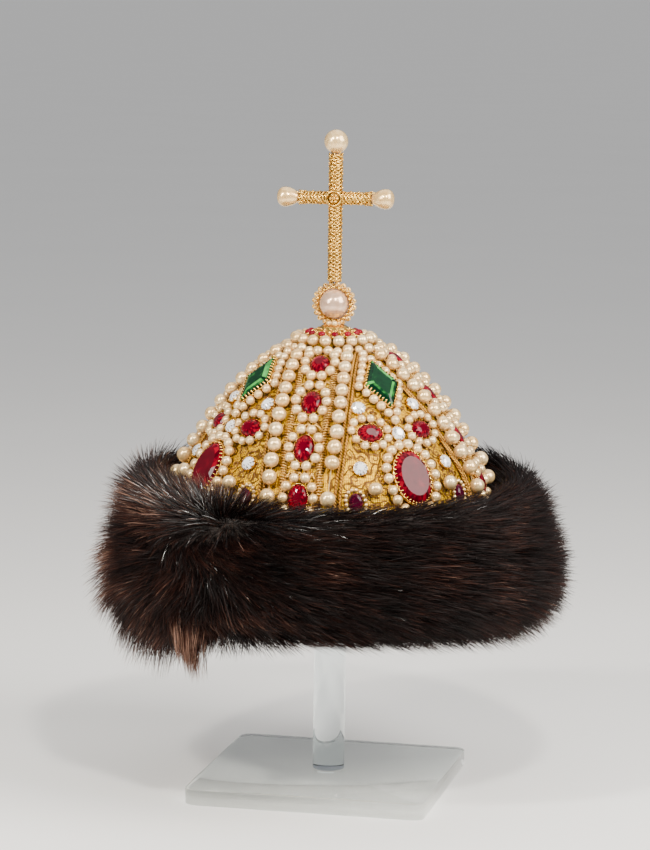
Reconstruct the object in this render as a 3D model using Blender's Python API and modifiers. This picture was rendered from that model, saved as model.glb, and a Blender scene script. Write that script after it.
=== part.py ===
"""Costume crown on an acrylic display stand.

A domed cloth cap with a deep fur brim, gold braid ribs, sewn pearls and cut stones, topped by a
collar, an orb pearl and a filigree cross. Metres, +Z up, front faces -Y, origin at the middle of
the stand's foot. Places on the dome are given as panel, across and down: the panel's bearing from
the front, the distance across it, and the distance down the dome from its crown.
"""
from math import cos, pi, radians, sin

import bmesh
import bpy
import numpy as np
from mathutils import Matrix, Vector

MM = 0.001

# Gap between neighbouring pieces
GAP = 0.3 * MM

# Cap: outer section from crown to lower edge, as radius and height
CAP_SECTION = (
    (0.0, 283.5), (19.8, 278.5), (34.5, 271.5), (53.2, 254.5), (64.2, 242.5),
    (76.7, 223.5), (89.7, 201.5), (93.8, 185.0), (94.8, 160.0), (95.0, 118.0),
)
CAP_WALL = 2.5 * MM
CAP_STEPS = 28
CAP_ROWS = 11
PEARL_LEVEL = 4.0 * MM

# Panels: bearings in degrees from the front, turning to the right
NARROW_PANELS = {"front": 0.0, "right": 90.0, "back": 180.0, "left": 270.0}
WIDE_PANELS = {"front_right": 45.0, "back_right": 135.0, "back_left": 225.0, "front_left": 315.0}

# Narrow panels: ovals in their rings of small pearls
OVAL_HALF_WIDTH = 6.2 * MM
OVALS = (
    # down, half length
    (40.5 * MM, 7.5 * MM),
    (70.0 * MM, 8.5 * MM),
    (101.0 * MM, 9.0 * MM),
    (132.5 * MM, 9.0 * MM),
)
RING_PEARL_RADIUS = 2.9 * MM
RING_PEARLS = 10
RING_SPACE = 0.3 * MM
RING_END_SPACE = 0.9 * MM

# Border strings of large pearls beside each narrow panel
STRING_PEARLS = 11
STRING_START = 32.4 * MM
STRING_END = 138.0 * MM
STRING_GROWTH = 1.35
STRING_ACROSS = ((35.0, 16.3), (59.0, 17.3), (85.0, 18.4), (150.0, 18.4))
THREAD_RADIUS = 1.1 * MM
BEAD_CORNERS = ((-0.96, 0.3), (-0.5, 0.92), (0.5, 0.92))  # along a pearl and out, as shares of its radius

# Braid ribs, just outside the strings
RIB_FROM_STRING = 5.7 * MM
RIB_HALF_WIDTH = 1.8 * MM
RIB_THICKNESS = 1.3 * MM
RIB_END = 149.0 * MM
RIB_MEET = 25.0 * MM
RIB_BEND = 72.0 * MM
RIB_TOP = 15.0 * MM
RIB_FIRST_STEP = 6.0 * MM
RIB_STEP = 9.0 * MM
RIB_RING_SIDES = 24
RIB_INSET = 0.15 * MM
RIB_LIFT = 0.6 * MM

# Wide panels
RHOMBUS_DOWN = 58.5 * MM
RHOMBUS_HALF_LENGTH = 18.5 * MM
RHOMBUS_HALF_WIDTH = 12.2 * MM
RHOMBUS_PEARLS_HALF_LENGTH = 25.0 * MM
RHOMBUS_PEARLS_HALF_WIDTH = 14.6 * MM
RHOMBUS_PEARL_RADIUS = 2.8 * MM
SIDE_OVAL_ACROSS = 19.0 * MM
SIDE_OVAL_DOWN = 90.7 * MM
SIDE_OVAL_HALF_WIDTH = 8.0 * MM
SIDE_OVAL_HALF_LENGTH = 6.0 * MM
SIDE_PEARL_RADIUS = 2.6 * MM
SIDE_RING_SPACE = 0.9 * MM
LARGE_OVAL_DOWN = 121.0 * MM
LARGE_OVAL_HALF_WIDTH = 12.4 * MM
LARGE_OVAL_HALF_LENGTH = 17.0 * MM
LARGE_PEARL_RADIUS = 3.1 * MM
LARGE_RING_HALF_WIDTH = 16.8 * MM
LARGE_RING_HALF_LENGTH = 21.3 * MM
LARGE_RING_PEARLS = 14

# Threads from each side oval's ring to the large oval's ring
SIDE_THREAD_ACROSS = SIDE_OVAL_ACROSS - 5.5 * MM
SIDE_THREAD_DOWN = SIDE_OVAL_DOWN + 8.0 * MM
LARGE_THREAD_TURN = 0.75
THREAD_OVERLAP = 1.0 * MM

# Cut stones: heights above the cloth
STONE_GIRDLE = 2.2 * MM
STONE_TABLE = 4.6 * MM
LARGE_STONE_TABLE = 6.0 * MM
TABLE_SHARE = 0.66
OVAL_SIDES = 10
LARGE_OVAL_SIDES = 14
RHOMBUS_CUT = 0.08
RHOMBUS_LEVELS = (
    # share of the outline, height
    (0.78, 0.9 * MM), (1.0, 5.2 * MM), (0.8, 6.7 * MM), (0.5, 7.4 * MM),
)

# Ring of pearls under the collar, which lies on the braids
TOP_RING_DOWN = 22.3 * MM
TOP_PEARL_RADIUS = 3.6 * MM
TOP_RING_PEARLS = 18
TOP_RING_LIFT = TOP_PEARL_RADIUS + RIB_LIFT + RIB_THICKNESS + RIB_INSET + GAP

# Finial
COLLAR_SECTION = (
    # radius and height down the collar's outer side
    (3.4, 293.2), (3.6, 290.8), (7.4, 290.0), (9.0, 287.6), (16.6, 286.6), (17.6, 284.9), (16.2, 283.2),
    (11.0, 284.2),
)
COLLAR_FOOT = 283.8
COLLAR_STEPS = 16
ORB_HEIGHT = 304.0 * MM
ORB_RADIUS = 9.2 * MM
ORB_RING_RADIUS = 11.6 * MM
ORB_RING_WIRE = 2.0 * MM
ORB_RING_SIDES = 14
CROSS_FOOT = ORB_HEIGHT + ORB_RING_RADIUS + ORB_RING_WIRE + GAP
CROSS_HEAD = 396.2 * MM
CROSS_ARM_HEIGHT = 369.3 * MM
CROSS_SHAFT_RADIUS = 4.1 * MM
CROSS_ARM_RADIUS = 3.8 * MM
CROSS_ARM_REACH = 22.4 * MM
CROSS_BOSS_RADIUS = 4.6 * MM
CROSS_BOSS_REACH = 5.2 * MM
CROSS_CUP_RADIUS = 5.2 * MM
CROSS_CUP_LENGTH = 3.0 * MM
TOP_CROSS_PEARL_RADIUS = 7.4 * MM
ARM_PEARL_SECTION = (
    # distance out from the arm's end, and radius
    (0.0, 3.2), (2.6, 4.9), (6.4, 6.1), (9.6, 6.2), (12.4, 4.8), (14.0, 2.2),
)
ARM_PEARL_SIDES = 10

# Fur brim: section from its inner foot, round the outside, to its inner lip
FUR_SECTION = (
    # radius, height, share of the ridge's rise, length of the locks
    (95.6, 121.0, 0.0, 0.0), (101.0, 114.5, 0.0, 1.0), (117.0, 112.0, 0.0, 4.0),
    (131.0, 118.0, 0.0, 5.0), (140.5, 130.0, 0.0, 6.0), (142.5, 147.0, 0.2, 6.0),
    (137.5, 165.0, 0.5, 6.0), (128.5, 182.0, 0.8, 5.0), (119.5, 193.0, 1.0, 4.0),
    (111.5, 188.5, 0.8, 1.0), (106.0, 180.5, 0.0, 0.0), (99.0, 173.0, 0.0, 0.0),
    (95.6, 158.0, 0.0, 0.0),
)
FUR_CENTRE = (120.0, 148.0)
FUR_STATIONS = 46
FUR_RISE = 15.0 * MM
FUR_SHIFT = 3.0 * MM
TUFT_BEARING = -28.0
TUFT_DROP = 12.0 * MM
TUFT_ROWS = (2, 3)

# Stand
BASE_SIDE = 150.0 * MM
BASE_THICKNESS = 10.0 * MM
BASE_CORNER = 8.0 * MM
ROD_RADIUS = 10.0 * MM
DISC_RADIUS = 40.0 * MM
DISC_THICKNESS = 6.0 * MM
DISC_TOP = 262.6 * MM
POST_STEPS = 16

MATERIALS = {
    # colour, roughness, metallic, transmission
    "cloth_of_gold": ((0.55, 0.36, 0.10), 0.5, 0.3, 0.0),
    "gold_braid": ((0.60, 0.40, 0.14), 0.4, 0.8, 0.0),
    "gilt_metal": ((0.80, 0.58, 0.22), 0.25, 1.0, 0.0),
    "pearl": ((0.87, 0.80, 0.67), 0.2, 0.0, 0.0),
    "orb_pearl": ((0.80, 0.66, 0.55), 0.2, 0.0, 0.0),
    "red_stone": ((0.45, 0.005, 0.02), 0.05, 0.0, 0.4),
    "green_stone": ((0.01, 0.20, 0.06), 0.05, 0.0, 0.4),
    "dark_fur": ((0.025, 0.014, 0.010), 0.6, 0.0, 0.0),
    "clear_acrylic": ((0.95, 0.97, 0.98), 0.03, 0.0, 0.9),
}


def clear_scene():
    for thing in list(bpy.data.objects):
        bpy.data.objects.remove(thing, do_unlink=True)


def make_collection(name):
    collection = bpy.data.collections.new(name)
    bpy.context.scene.collection.children.link(collection)
    return collection


clear_scene()
CROWN = make_collection("costume_crown")


def material(kind, name):
    colour, roughness, metallic, transmission = MATERIALS[kind]
    made = bpy.data.materials.new(name)
    made.use_nodes = True
    shader = made.node_tree.nodes["Principled BSDF"]
    shader.inputs["Base Color"].default_value = (*colour, 1.0)
    shader.inputs["Roughness"].default_value = roughness
    shader.inputs["Metallic"].default_value = metallic
    shader.inputs["Transmission Weight"].default_value = transmission
    return made


def add_object(name, data):
    thing = bpy.data.objects.new(name, data)
    CROWN.objects.link(thing)
    return thing


# The dome's section as a smooth curve, with the distance down it


def smooth_line(points, steps=16):
    """Read a natural cubic spline through points, spaced by the distances between them."""
    pts = np.array(points, float)
    at = np.concatenate([[0.0], np.cumsum(np.linalg.norm(np.diff(pts, axis=0), axis=1))])
    gaps, slopes = np.diff(at), np.diff(pts, axis=0) / np.diff(at)[:, None]
    system, bends = np.eye(len(pts)), np.zeros_like(pts)
    for i in range(1, len(pts) - 1):
        system[i, i - 1:i + 2] = gaps[i - 1], 2 * (gaps[i - 1] + gaps[i]), gaps[i]
        bends[i] = 6 * (slopes[i] - slopes[i - 1])
    bends = np.linalg.solve(system, bends)
    line = []
    for i, gap in enumerate(gaps):
        for k in range(steps):
            t = k / steps
            curve = ((1 - t) ** 3 - (1 - t)) * bends[i] + (t ** 3 - t) * bends[i + 1]
            line.append((1 - t) * pts[i] + t * pts[i + 1] + curve * gap ** 2 / 6)
    line.append(pts[-1])
    return np.array(line)


SECTION = smooth_line(CAP_SECTION) * MM
SECTION_DOWN = np.concatenate([[0.0], np.cumsum(np.linalg.norm(np.diff(SECTION, axis=0), axis=1))])
CAP_ROW_DOWNS = np.linspace(0.0, 1.0, CAP_ROWS) ** 0.9 * SECTION_DOWN[-1]


def section_at(down):
    """Radius, height and outward normal of the cloth at a distance down the dome."""
    step = 1.0 * MM
    radius, before, after = (np.interp(d, SECTION_DOWN, SECTION[:, 0])
                             for d in (down, down - step, down + step))
    height, above, below = (np.interp(d, SECTION_DOWN, SECTION[:, 1])
                            for d in (down, down - step, down + step))
    normal = np.array([above - below, after - before])
    normal /= np.linalg.norm(normal)
    return radius, height, normal


def reach_at(down):
    """Radius at which distances across are measured, at the level of the pearls."""
    radius, _, normal = section_at(down)
    return radius + PEARL_LEVEL * normal[0]


def on_dome(panel, across, down, lift):
    """Point at a place on the dome, lifted off the cloth."""
    radius, height, normal = section_at(down)
    bearing = radians(panel) + across / reach_at(down)
    far = radius + lift * normal[0]
    return Vector((far * sin(bearing), -far * cos(bearing), height + lift * normal[1]))


def dome_frame(panel, across, down, lift):
    """Matrix whose X runs across, Y up the dome and Z out of it."""
    origin = on_dome(panel, across, down, lift)
    outward = (on_dome(panel, across, down, lift + MM) - origin).normalized()
    side = (on_dome(panel, across + MM, down, lift) - on_dome(panel, across - MM, down, lift)).normalized()
    frame = Matrix((side, outward.cross(side), outward)).transposed().to_4x4()
    frame.translation = origin
    return frame


# Shape makers


def mesh_from(thing):
    """Turn a curve, or an object with modifiers, into a welded mesh object."""
    depsgraph = bpy.context.evaluated_depsgraph_get()
    mesh = bpy.data.meshes.new_from_object(thing.evaluated_get(depsgraph))
    form = bmesh.new()
    form.from_mesh(mesh)
    bmesh.ops.remove_doubles(form, verts=form.verts, dist=0.00001)
    form.to_mesh(mesh)
    form.free()
    made = add_object(thing.name + "_mesh", mesh)
    made.matrix_world = thing.matrix_world.copy()
    bpy.data.objects.remove(thing, do_unlink=True)
    return made


def tube(name, points, radius, cyclic=False, resolution=1, radii=None):
    """A round tube through points, its radius the same or given for each point."""
    curve = bpy.data.curves.new(name, "CURVE")
    curve.dimensions = "3D"
    curve.bevel_depth = radius
    curve.bevel_resolution = resolution
    curve.use_fill_caps = not cyclic
    spline = curve.splines.new("POLY")
    spline.points.add(len(points) - 1)
    for number, (point, place) in enumerate(zip(spline.points, points)):
        point.co = (*place, 1.0)
        point.radius = radii[number] / radius if radii else 1.0
    spline.use_cyclic_u = cyclic
    return mesh_from(add_object(name, curve))


def turned(name, section, steps, start=0.0):
    """A solid or a shell turned round Z from a section of radii and heights."""
    mesh = bpy.data.meshes.new(name)
    verts = [(radius * cos(start), radius * sin(start), height) for radius, height in section]
    mesh.from_pydata(verts, [(i, i + 1) for i in range(len(verts) - 1)], [])
    thing = add_object(name, mesh)
    screw = thing.modifiers.new("turn", "SCREW")
    screw.steps = steps
    screw.render_steps = steps
    screw.use_merge_vertices = True
    screw.merge_threshold = 0.00001
    screw.use_smooth_shade = True
    return thing


def loft(name, rings, closed_loop=False):
    """Join rings of points into a closed body, capped unless the rings close on themselves."""
    form = bmesh.new()
    rows = [[form.verts.new(p) for p in ring] for ring in rings]
    pairs = list(zip(rows, rows[1:]))
    if closed_loop:
        pairs.append((rows[-1], rows[0]))
    for row, following in pairs:
        for i in range(len(row)):
            j = (i + 1) % len(row)
            form.faces.new((row[i], row[j], following[j], following[i]))
    if not closed_loop:
        form.faces.new(list(reversed(rows[0])))
        form.faces.new(rows[-1])
    bmesh.ops.recalc_face_normals(form, faces=form.faces)
    mesh = bpy.data.meshes.new(name)
    form.to_mesh(mesh)
    form.free()
    return add_object(name, mesh)


def joined(name, things, kind):
    """Union of several meshes as one body."""
    body = things[0]
    for other in things[1:]:
        union = body.modifiers.new("union", "BOOLEAN")
        union.operation = "UNION"
        union.solver = "EXACT"
        union.object = other
        fused = mesh_from(body)
        bpy.data.objects.remove(other, do_unlink=True)
        body = fused
    body.name = name
    body.data.name = name
    body.data.materials.clear()
    body.data.materials.append(material(kind, name + "_material"))
    body.data.shade_smooth()
    body.data.set_sharp_from_angle(angle=radians(35))
    return body


def finished(thing, name, kind):
    return joined(name, [thing], kind)


# Cap and braids


def make_cap():
    section = [section_at(down)[:2] for down in CAP_ROW_DOWNS]
    cap = turned("cap_shell", section, CAP_STEPS, pi / CAP_STEPS)
    cap.data.materials.append(material("cloth_of_gold", "cap_shell_material"))
    wall = cap.modifiers.new("wall", "SOLIDIFY")
    wall.thickness = CAP_WALL
    wall.offset = -1.0
    wall.use_even_offset = True


def string_across(down):
    table = np.array(STRING_ACROSS) * MM
    return np.interp(down, table[:, 0], table[:, 1])


def rib_place(side, down):
    """Distance across to a rib: beside its string, meeting its neighbour at the top."""
    return side * min(string_across(down) + RIB_FROM_STRING, radians(45.0) * reach_at(down))


def make_rib(panel, side):
    """The right-hand rib of a panel runs up to the ring; the left-hand one ends inside its neighbour."""
    start, inset = (RIB_TOP, 0.0) if side > 0 else (RIB_MEET, RIB_INSET)
    rings = []
    gentle = np.arange(start + RIB_FIRST_STEP, RIB_BEND, RIB_STEP)
    steep = [down for down in CAP_ROW_DOWNS if RIB_BEND < down < RIB_END]
    for down in [start, *gentle, *steep, RIB_END]:
        frame = dome_frame(panel, rib_place(side, down), down, RIB_LIFT)
        corners = ((-1, inset), (1, inset), (1, RIB_THICKNESS - inset), (-1, RIB_THICKNESS - inset))
        rings.append([frame @ Vector((a * RIB_HALF_WIDTH, 0.0, b)) for a, b in corners])
    return loft("rib", rings)


def make_ribs():
    ribs = [make_rib(panel, side) for panel in NARROW_PANELS.values() for side in (-1, 1)]
    under, over = RIB_INSET, RIB_THICKNESS + RIB_INSET
    corners = ((-1, under), (1, under), (1, over), (-1, over))
    ring = []
    for side in range(RIB_RING_SIDES):
        bearing = side * 360.0 / RIB_RING_SIDES
        ring.append([on_dome(bearing, 0.0, RIB_TOP + a * RIB_HALF_WIDTH, RIB_LIFT + b) for a, b in corners])
    joined("rib_braids", [loft("rib_ring", ring, closed_loop=True), *ribs], "gold_braid")


# Pearls


def string_pearls():
    """Distances down the dome and radii of a border string's pearls, larger towards the brim."""
    sizes = np.linspace(1.0, STRING_GROWTH, STRING_PEARLS)
    sizes *= (STRING_END - STRING_START) / sizes.sum()
    ends = STRING_START + np.concatenate([[0.0], np.cumsum(sizes)])
    return [(0.5 * (a + b), 0.5 * (b - a)) for a, b in zip(ends, ends[1:])]


def make_string(name, panel, side):
    """Real beads: two rings of corners on each, and a narrow thread between them."""
    points, radii = [], []
    for down, radius in string_pearls():
        for share, width in BEAD_CORNERS:
            at = down + share * radius
            points.append(on_dome(panel, side * string_across(at), at, radius + GAP))
            radii.append(width * radius)
    down, radius = string_pearls()[-1]
    share, width = BEAD_CORNERS[0]
    points.append(on_dome(panel, side * string_across(down), down - share * radius, radius + GAP))
    radii.append(width * radius)
    finished(tube(name, points, 1.0 * MM, resolution=3, radii=radii), name, "pearl")


def ellipse(panel, across, down, half_width, half_length, count, lift):
    turns = [2 * pi * (i + 0.5) / count for i in range(count)]
    return [on_dome(panel, across + half_width * sin(t), down - half_length * cos(t), lift) for t in turns]


def thread(panel, start, end):
    """Sewing thread that joins one group of pearls to the next, across and down at each end."""
    lift = GAP + 2.0 * THREAD_RADIUS
    return tube("thread", [on_dome(panel, *place, lift) for place in (start, end)], THREAD_RADIUS)


def narrow_ring_size(half_length):
    return (OVAL_HALF_WIDTH + RING_SPACE + RING_PEARL_RADIUS,
            half_length + RING_END_SPACE + RING_PEARL_RADIUS)


def make_narrow_rings(name, panel):
    parts = []
    lift = RING_PEARL_RADIUS + GAP
    for down, half_length in OVALS:
        across_size, down_size = narrow_ring_size(half_length)
        ring = ellipse(panel, 0.0, down, across_size, down_size, RING_PEARLS, lift)
        parts.append(tube("ring", ring, RING_PEARL_RADIUS, cyclic=True))
    for (down, half), (next_down, next_half) in zip(OVALS, OVALS[1:]):
        start = down + narrow_ring_size(half)[1] - THREAD_OVERLAP
        end = next_down - narrow_ring_size(next_half)[1] + THREAD_OVERLAP
        parts.append(thread(panel, (0.0, start), (0.0, end)))
    joined(name, parts, "pearl")


def side_ring_size():
    space = SIDE_RING_SPACE + SIDE_PEARL_RADIUS
    return SIDE_OVAL_HALF_WIDTH + space, SIDE_OVAL_HALF_LENGTH + space


def make_wide_work(name, panel):
    a, b = RHOMBUS_PEARLS_HALF_WIDTH, RHOMBUS_PEARLS_HALF_LENGTH
    corners = [np.array(c) for c in ((0.0, -b), (a, 0.0), (0.0, b), (-a, 0.0))]
    places = []
    for corner, following in zip(corners, corners[1:] + corners[:1]):
        places += [corner * (1 - t) + following * t for t in (0.0, 1 / 3, 2 / 3)]
    lift = RHOMBUS_PEARL_RADIUS + GAP
    diamond = [on_dome(panel, x, RHOMBUS_DOWN + y, lift) for x, y in places]
    parts = [tube("ring", diamond, RHOMBUS_PEARL_RADIUS, cyclic=True)]
    for side in (-1, 1):
        ring = ellipse(panel, side * SIDE_OVAL_ACROSS, SIDE_OVAL_DOWN, *side_ring_size(), RING_PEARLS,
                       SIDE_PEARL_RADIUS + GAP)
        parts.append(tube("ring", ring, SIDE_PEARL_RADIUS, cyclic=True))
    ring = ellipse(panel, 0.0, LARGE_OVAL_DOWN, LARGE_RING_HALF_WIDTH, LARGE_RING_HALF_LENGTH,
                   LARGE_RING_PEARLS, LARGE_PEARL_RADIUS + GAP)
    parts.append(tube("ring", ring, LARGE_PEARL_RADIUS, cyclic=True))
    large_top = LARGE_OVAL_DOWN - LARGE_RING_HALF_LENGTH
    start, end = RHOMBUS_DOWN + b - THREAD_OVERLAP, large_top + THREAD_OVERLAP
    parts.append(thread(panel, (0.0, start), (0.0, end)))
    end_across = LARGE_RING_HALF_WIDTH * sin(LARGE_THREAD_TURN)
    end_down = LARGE_OVAL_DOWN - LARGE_RING_HALF_LENGTH * cos(LARGE_THREAD_TURN)
    for side in (-1, 1):
        start, end = (side * SIDE_THREAD_ACROSS, SIDE_THREAD_DOWN), (side * end_across, end_down)
        parts.append(thread(panel, start, end))
    joined(name, parts, "pearl")


def make_top_ring():
    bearings = [360.0 * i / TOP_RING_PEARLS for i in range(TOP_RING_PEARLS)]
    points = [on_dome(bearing, 0.0, TOP_RING_DOWN, TOP_RING_LIFT) for bearing in bearings]
    finished(tube("ring", points, TOP_PEARL_RADIUS, cyclic=True), "pearl_ring_top", "pearl")


# Cut stones


def outline_oval(half_width, half_length, sides):
    turns = [2 * pi * (i + 0.5) / sides for i in range(sides)]
    return [(half_width * sin(t), half_length * cos(t)) for t in turns]


def outline_rhombus(half_width, half_length):
    """Rhombus with its four corners cut off square."""
    cut = RHOMBUS_CUT
    points = []
    for x, y in ((0, 1), (1, 0), (0, -1), (-1, 0)):
        for nx, ny in ((-y, -x), (y, x)) if x == 0 else ((-y, x), (y, -x)):
            points.append((((1 - cut) * x + cut * nx) * half_width, ((1 - cut) * y + cut * ny) * half_length))
    return points


def make_stone(name, kind, place, outline, levels):
    """A cut stone: outlines at named heights, the last of them its flat table."""
    frame = dome_frame(*place, 0.0)
    rings = [[frame @ Vector((x * share, y * share, height)) for x, y in outline] for share, height in levels]
    finished(loft("stone", rings), name, kind)


def make_stones():
    plain = ((1.0, 2 * GAP), (1.0, STONE_GIRDLE), (TABLE_SHARE, STONE_TABLE))
    for word, panel in NARROW_PANELS.items():
        for number, (down, half_length) in enumerate(OVALS, 1):
            outline = outline_oval(OVAL_HALF_WIDTH, half_length, OVAL_SIDES)
            make_stone(f"stone_oval_{word}_{number}", "red_stone", (panel, 0.0, down), outline, plain)
    for word, panel in WIDE_PANELS.items():
        outline = outline_rhombus(RHOMBUS_HALF_WIDTH, RHOMBUS_HALF_LENGTH)
        place = (panel, 0.0, RHOMBUS_DOWN)
        make_stone(f"stone_rhombus_{word}", "green_stone", place, outline, RHOMBUS_LEVELS)
        tall = ((1.0, 3 * GAP), (1.0, STONE_GIRDLE + MM), (TABLE_SHARE, LARGE_STONE_TABLE))
        outline = outline_oval(LARGE_OVAL_HALF_WIDTH, LARGE_OVAL_HALF_LENGTH, LARGE_OVAL_SIDES)
        make_stone(f"stone_large_{word}", "red_stone", (panel, 0.0, LARGE_OVAL_DOWN), outline, tall)
        for mark, side in (("l", -1), ("r", 1)):
            place = (panel, side * SIDE_OVAL_ACROSS, SIDE_OVAL_DOWN)
            outline = outline_oval(SIDE_OVAL_HALF_WIDTH, SIDE_OVAL_HALF_LENGTH, OVAL_SIDES)
            make_stone(f"stone_side_{word}_{mark}", "red_stone", place, outline, plain)


# Finial and cross


def cylinder(name, start, end, radius, end_radius=None, sides=10):
    """A round bar from one point to another."""
    start, end = Vector(start), Vector(end)
    form = bmesh.new()
    bmesh.ops.create_cone(form, cap_ends=True, segments=sides, radius1=radius,
                          radius2=end_radius or radius, depth=(end - start).length)
    turn = (end - start).to_track_quat("Z", "X").to_matrix().to_4x4()
    bmesh.ops.transform(form, matrix=Matrix.Translation((start + end) / 2) @ turn, verts=form.verts)
    mesh = bpy.data.meshes.new(name)
    form.to_mesh(mesh)
    form.free()
    return add_object(name, mesh)


def sphere(name, centre, radius, kind, segments=12, rings=7):
    form = bmesh.new()
    bmesh.ops.create_uvsphere(form, u_segments=segments, v_segments=rings, radius=radius,
                              matrix=Matrix.Translation(centre))
    mesh = bpy.data.meshes.new(name)
    form.to_mesh(mesh)
    form.free()
    finished(add_object(name, mesh), name, kind)


def make_finial():
    section = [(0.0, COLLAR_SECTION[0][1]), *COLLAR_SECTION, (0.0, COLLAR_FOOT)]
    collar = mesh_from(turned("collar", [(r * MM, z * MM) for r, z in section], COLLAR_STEPS))
    turns = [2 * pi * i / ORB_RING_SIDES for i in range(ORB_RING_SIDES)]
    ring = [(ORB_RING_RADIUS * sin(t), 0.0, ORB_HEIGHT + ORB_RING_RADIUS * cos(t)) for t in turns]
    joined("finial_collar", [collar, tube("ring", ring, ORB_RING_WIRE, cyclic=True)], "gilt_metal")
    sphere("finial_orb_pearl", (0.0, 0.0, ORB_HEIGHT), ORB_RADIUS, "orb_pearl")


def make_cross():
    arm = Vector((CROSS_ARM_REACH, 0.0, CROSS_ARM_HEIGHT))
    heart = Vector((0.0, 0.0, CROSS_ARM_HEIGHT))
    boss = Vector((0.0, CROSS_BOSS_REACH, 0.0))
    parts = [
        cylinder("shaft", (0.0, 0.0, CROSS_FOOT), (0.0, 0.0, CROSS_HEAD), CROSS_SHAFT_RADIUS),
        cylinder("arms", (-arm.x, 0.0, arm.z), arm, CROSS_ARM_RADIUS),
        cylinder("boss", heart - boss, heart + boss, CROSS_BOSS_RADIUS),
    ]
    for way in (Vector((1, 0, 0)), Vector((-1, 0, 0)), Vector((0, 0, 1))):
        reach = CROSS_ARM_REACH if way.x else CROSS_HEAD - CROSS_ARM_HEIGHT
        start, end = heart + way * (reach - CROSS_CUP_LENGTH), heart + way * reach
        parts.append(cylinder("cup", start, end, CROSS_SHAFT_RADIUS, CROSS_CUP_RADIUS))
    joined("cross_body", parts, "gilt_metal")
    top_centre = CROSS_HEAD + GAP + TOP_CROSS_PEARL_RADIUS
    sphere("cross_pearl_top", (0.0, 0.0, top_centre), TOP_CROSS_PEARL_RADIUS, "pearl")
    for name, side in (("cross_pearl_left", -1), ("cross_pearl_right", 1)):
        rings = []
        for out, radius in ARM_PEARL_SECTION:
            x = side * (CROSS_ARM_REACH + GAP + out * MM)
            turns = [2 * pi * i / ARM_PEARL_SIDES for i in range(ARM_PEARL_SIDES)]
            rings.append([(x, radius * MM * cos(t), CROSS_ARM_HEIGHT + radius * MM * sin(t)) for t in turns])
        finished(loft("pear", rings), name, "pearl")


# Fur brim


def lock_length(station, row):
    """Staggered locks: every other corner of the grid is drawn out, by unequal amounts."""
    if (station + row) % 2:
        return -0.25
    return 0.55 + 0.45 * sin(2.4 * station + 1.7 * row) * cos(1.3 * station - 0.9 * row)


def ridge_rise(bearing):
    """The fur stands higher at the sides and back than at the front."""
    return 0.5 * (1 - cos(bearing)) * 0.75 + 0.35 * max(0.0, sin(bearing)) ** 2 + 0.12 * sin(3 * bearing)


def make_fur():
    rings = []
    for station in range(FUR_STATIONS):
        bearing = 2 * pi * station / FUR_STATIONS
        rise = ridge_rise(bearing) * FUR_RISE
        tuft = max(0.0, cos(bearing - radians(TUFT_BEARING))) ** 60
        ring = []
        for row, (radius, height, share, lock) in enumerate(FUR_SECTION):
            out = Vector((radius - FUR_CENTRE[0], height - FUR_CENTRE[1])).normalized()
            length = lock * lock_length(station, row) * MM
            shift = FUR_SHIFT * min(1.0, lock / 4.0)
            r = radius * MM + out.x * length + shift * sin(bearing)
            drop = tuft * TUFT_DROP if row in TUFT_ROWS else 0.0
            z = height * MM + out.y * length + share * rise - drop
            ring.append((r * sin(bearing), -r * cos(bearing), z))
        rings.append(ring)
    finished(loft("fur", rings, closed_loop=True), "fur_brim", "dark_fur")


# Stand


def make_stand():
    form = bmesh.new()
    bmesh.ops.create_cube(form, size=1.0)
    bmesh.ops.scale(form, vec=(BASE_SIDE, BASE_SIDE, BASE_THICKNESS), verts=form.verts)
    bmesh.ops.translate(form, vec=(0.0, 0.0, BASE_THICKNESS / 2), verts=form.verts)
    upright = [e for e in form.edges if abs(e.verts[0].co.z - e.verts[1].co.z) > BASE_THICKNESS / 2]
    bmesh.ops.bevel(form, geom=upright, offset=BASE_CORNER, segments=3, profile=0.5, affect="EDGES")
    mesh = bpy.data.meshes.new("base")
    form.to_mesh(mesh)
    form.free()
    finished(add_object("base", mesh), "stand_base", "clear_acrylic")
    foot = BASE_THICKNESS + GAP
    under = DISC_TOP - DISC_THICKNESS
    section = [(0.0, DISC_TOP), (DISC_RADIUS, DISC_TOP), (DISC_RADIUS, under), (ROD_RADIUS, under),
               (ROD_RADIUS, foot), (0.0, foot)]
    finished(mesh_from(turned("post", section, POST_STEPS)), "stand_post", "clear_acrylic")


make_stand()
make_cap()
make_ribs()
for panel_word, panel_bearing in NARROW_PANELS.items():
    make_string(f"pearl_string_{panel_word}_l", panel_bearing, -1)
    make_string(f"pearl_string_{panel_word}_r", panel_bearing, 1)
    make_narrow_rings(f"pearl_rings_{panel_word}", panel_bearing)
for panel_word, panel_bearing in WIDE_PANELS.items():
    make_wide_work(f"pearl_work_{panel_word}", panel_bearing)
make_top_ring()
make_stones()
make_finial()
make_cross()
make_fur()
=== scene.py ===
"""Looks of the costume crown and its acrylic stand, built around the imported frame.

Places on the dome are given as in the part: panel bearing in degrees from the front, distance
across the panel, and distance down the dome from its crown. Metres, unless a comment says otherwise.
"""

from math import atan, cos, pi, radians, sin

import bmesh
import bpy
import numpy as np
from mathutils import Matrix, Vector


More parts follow.
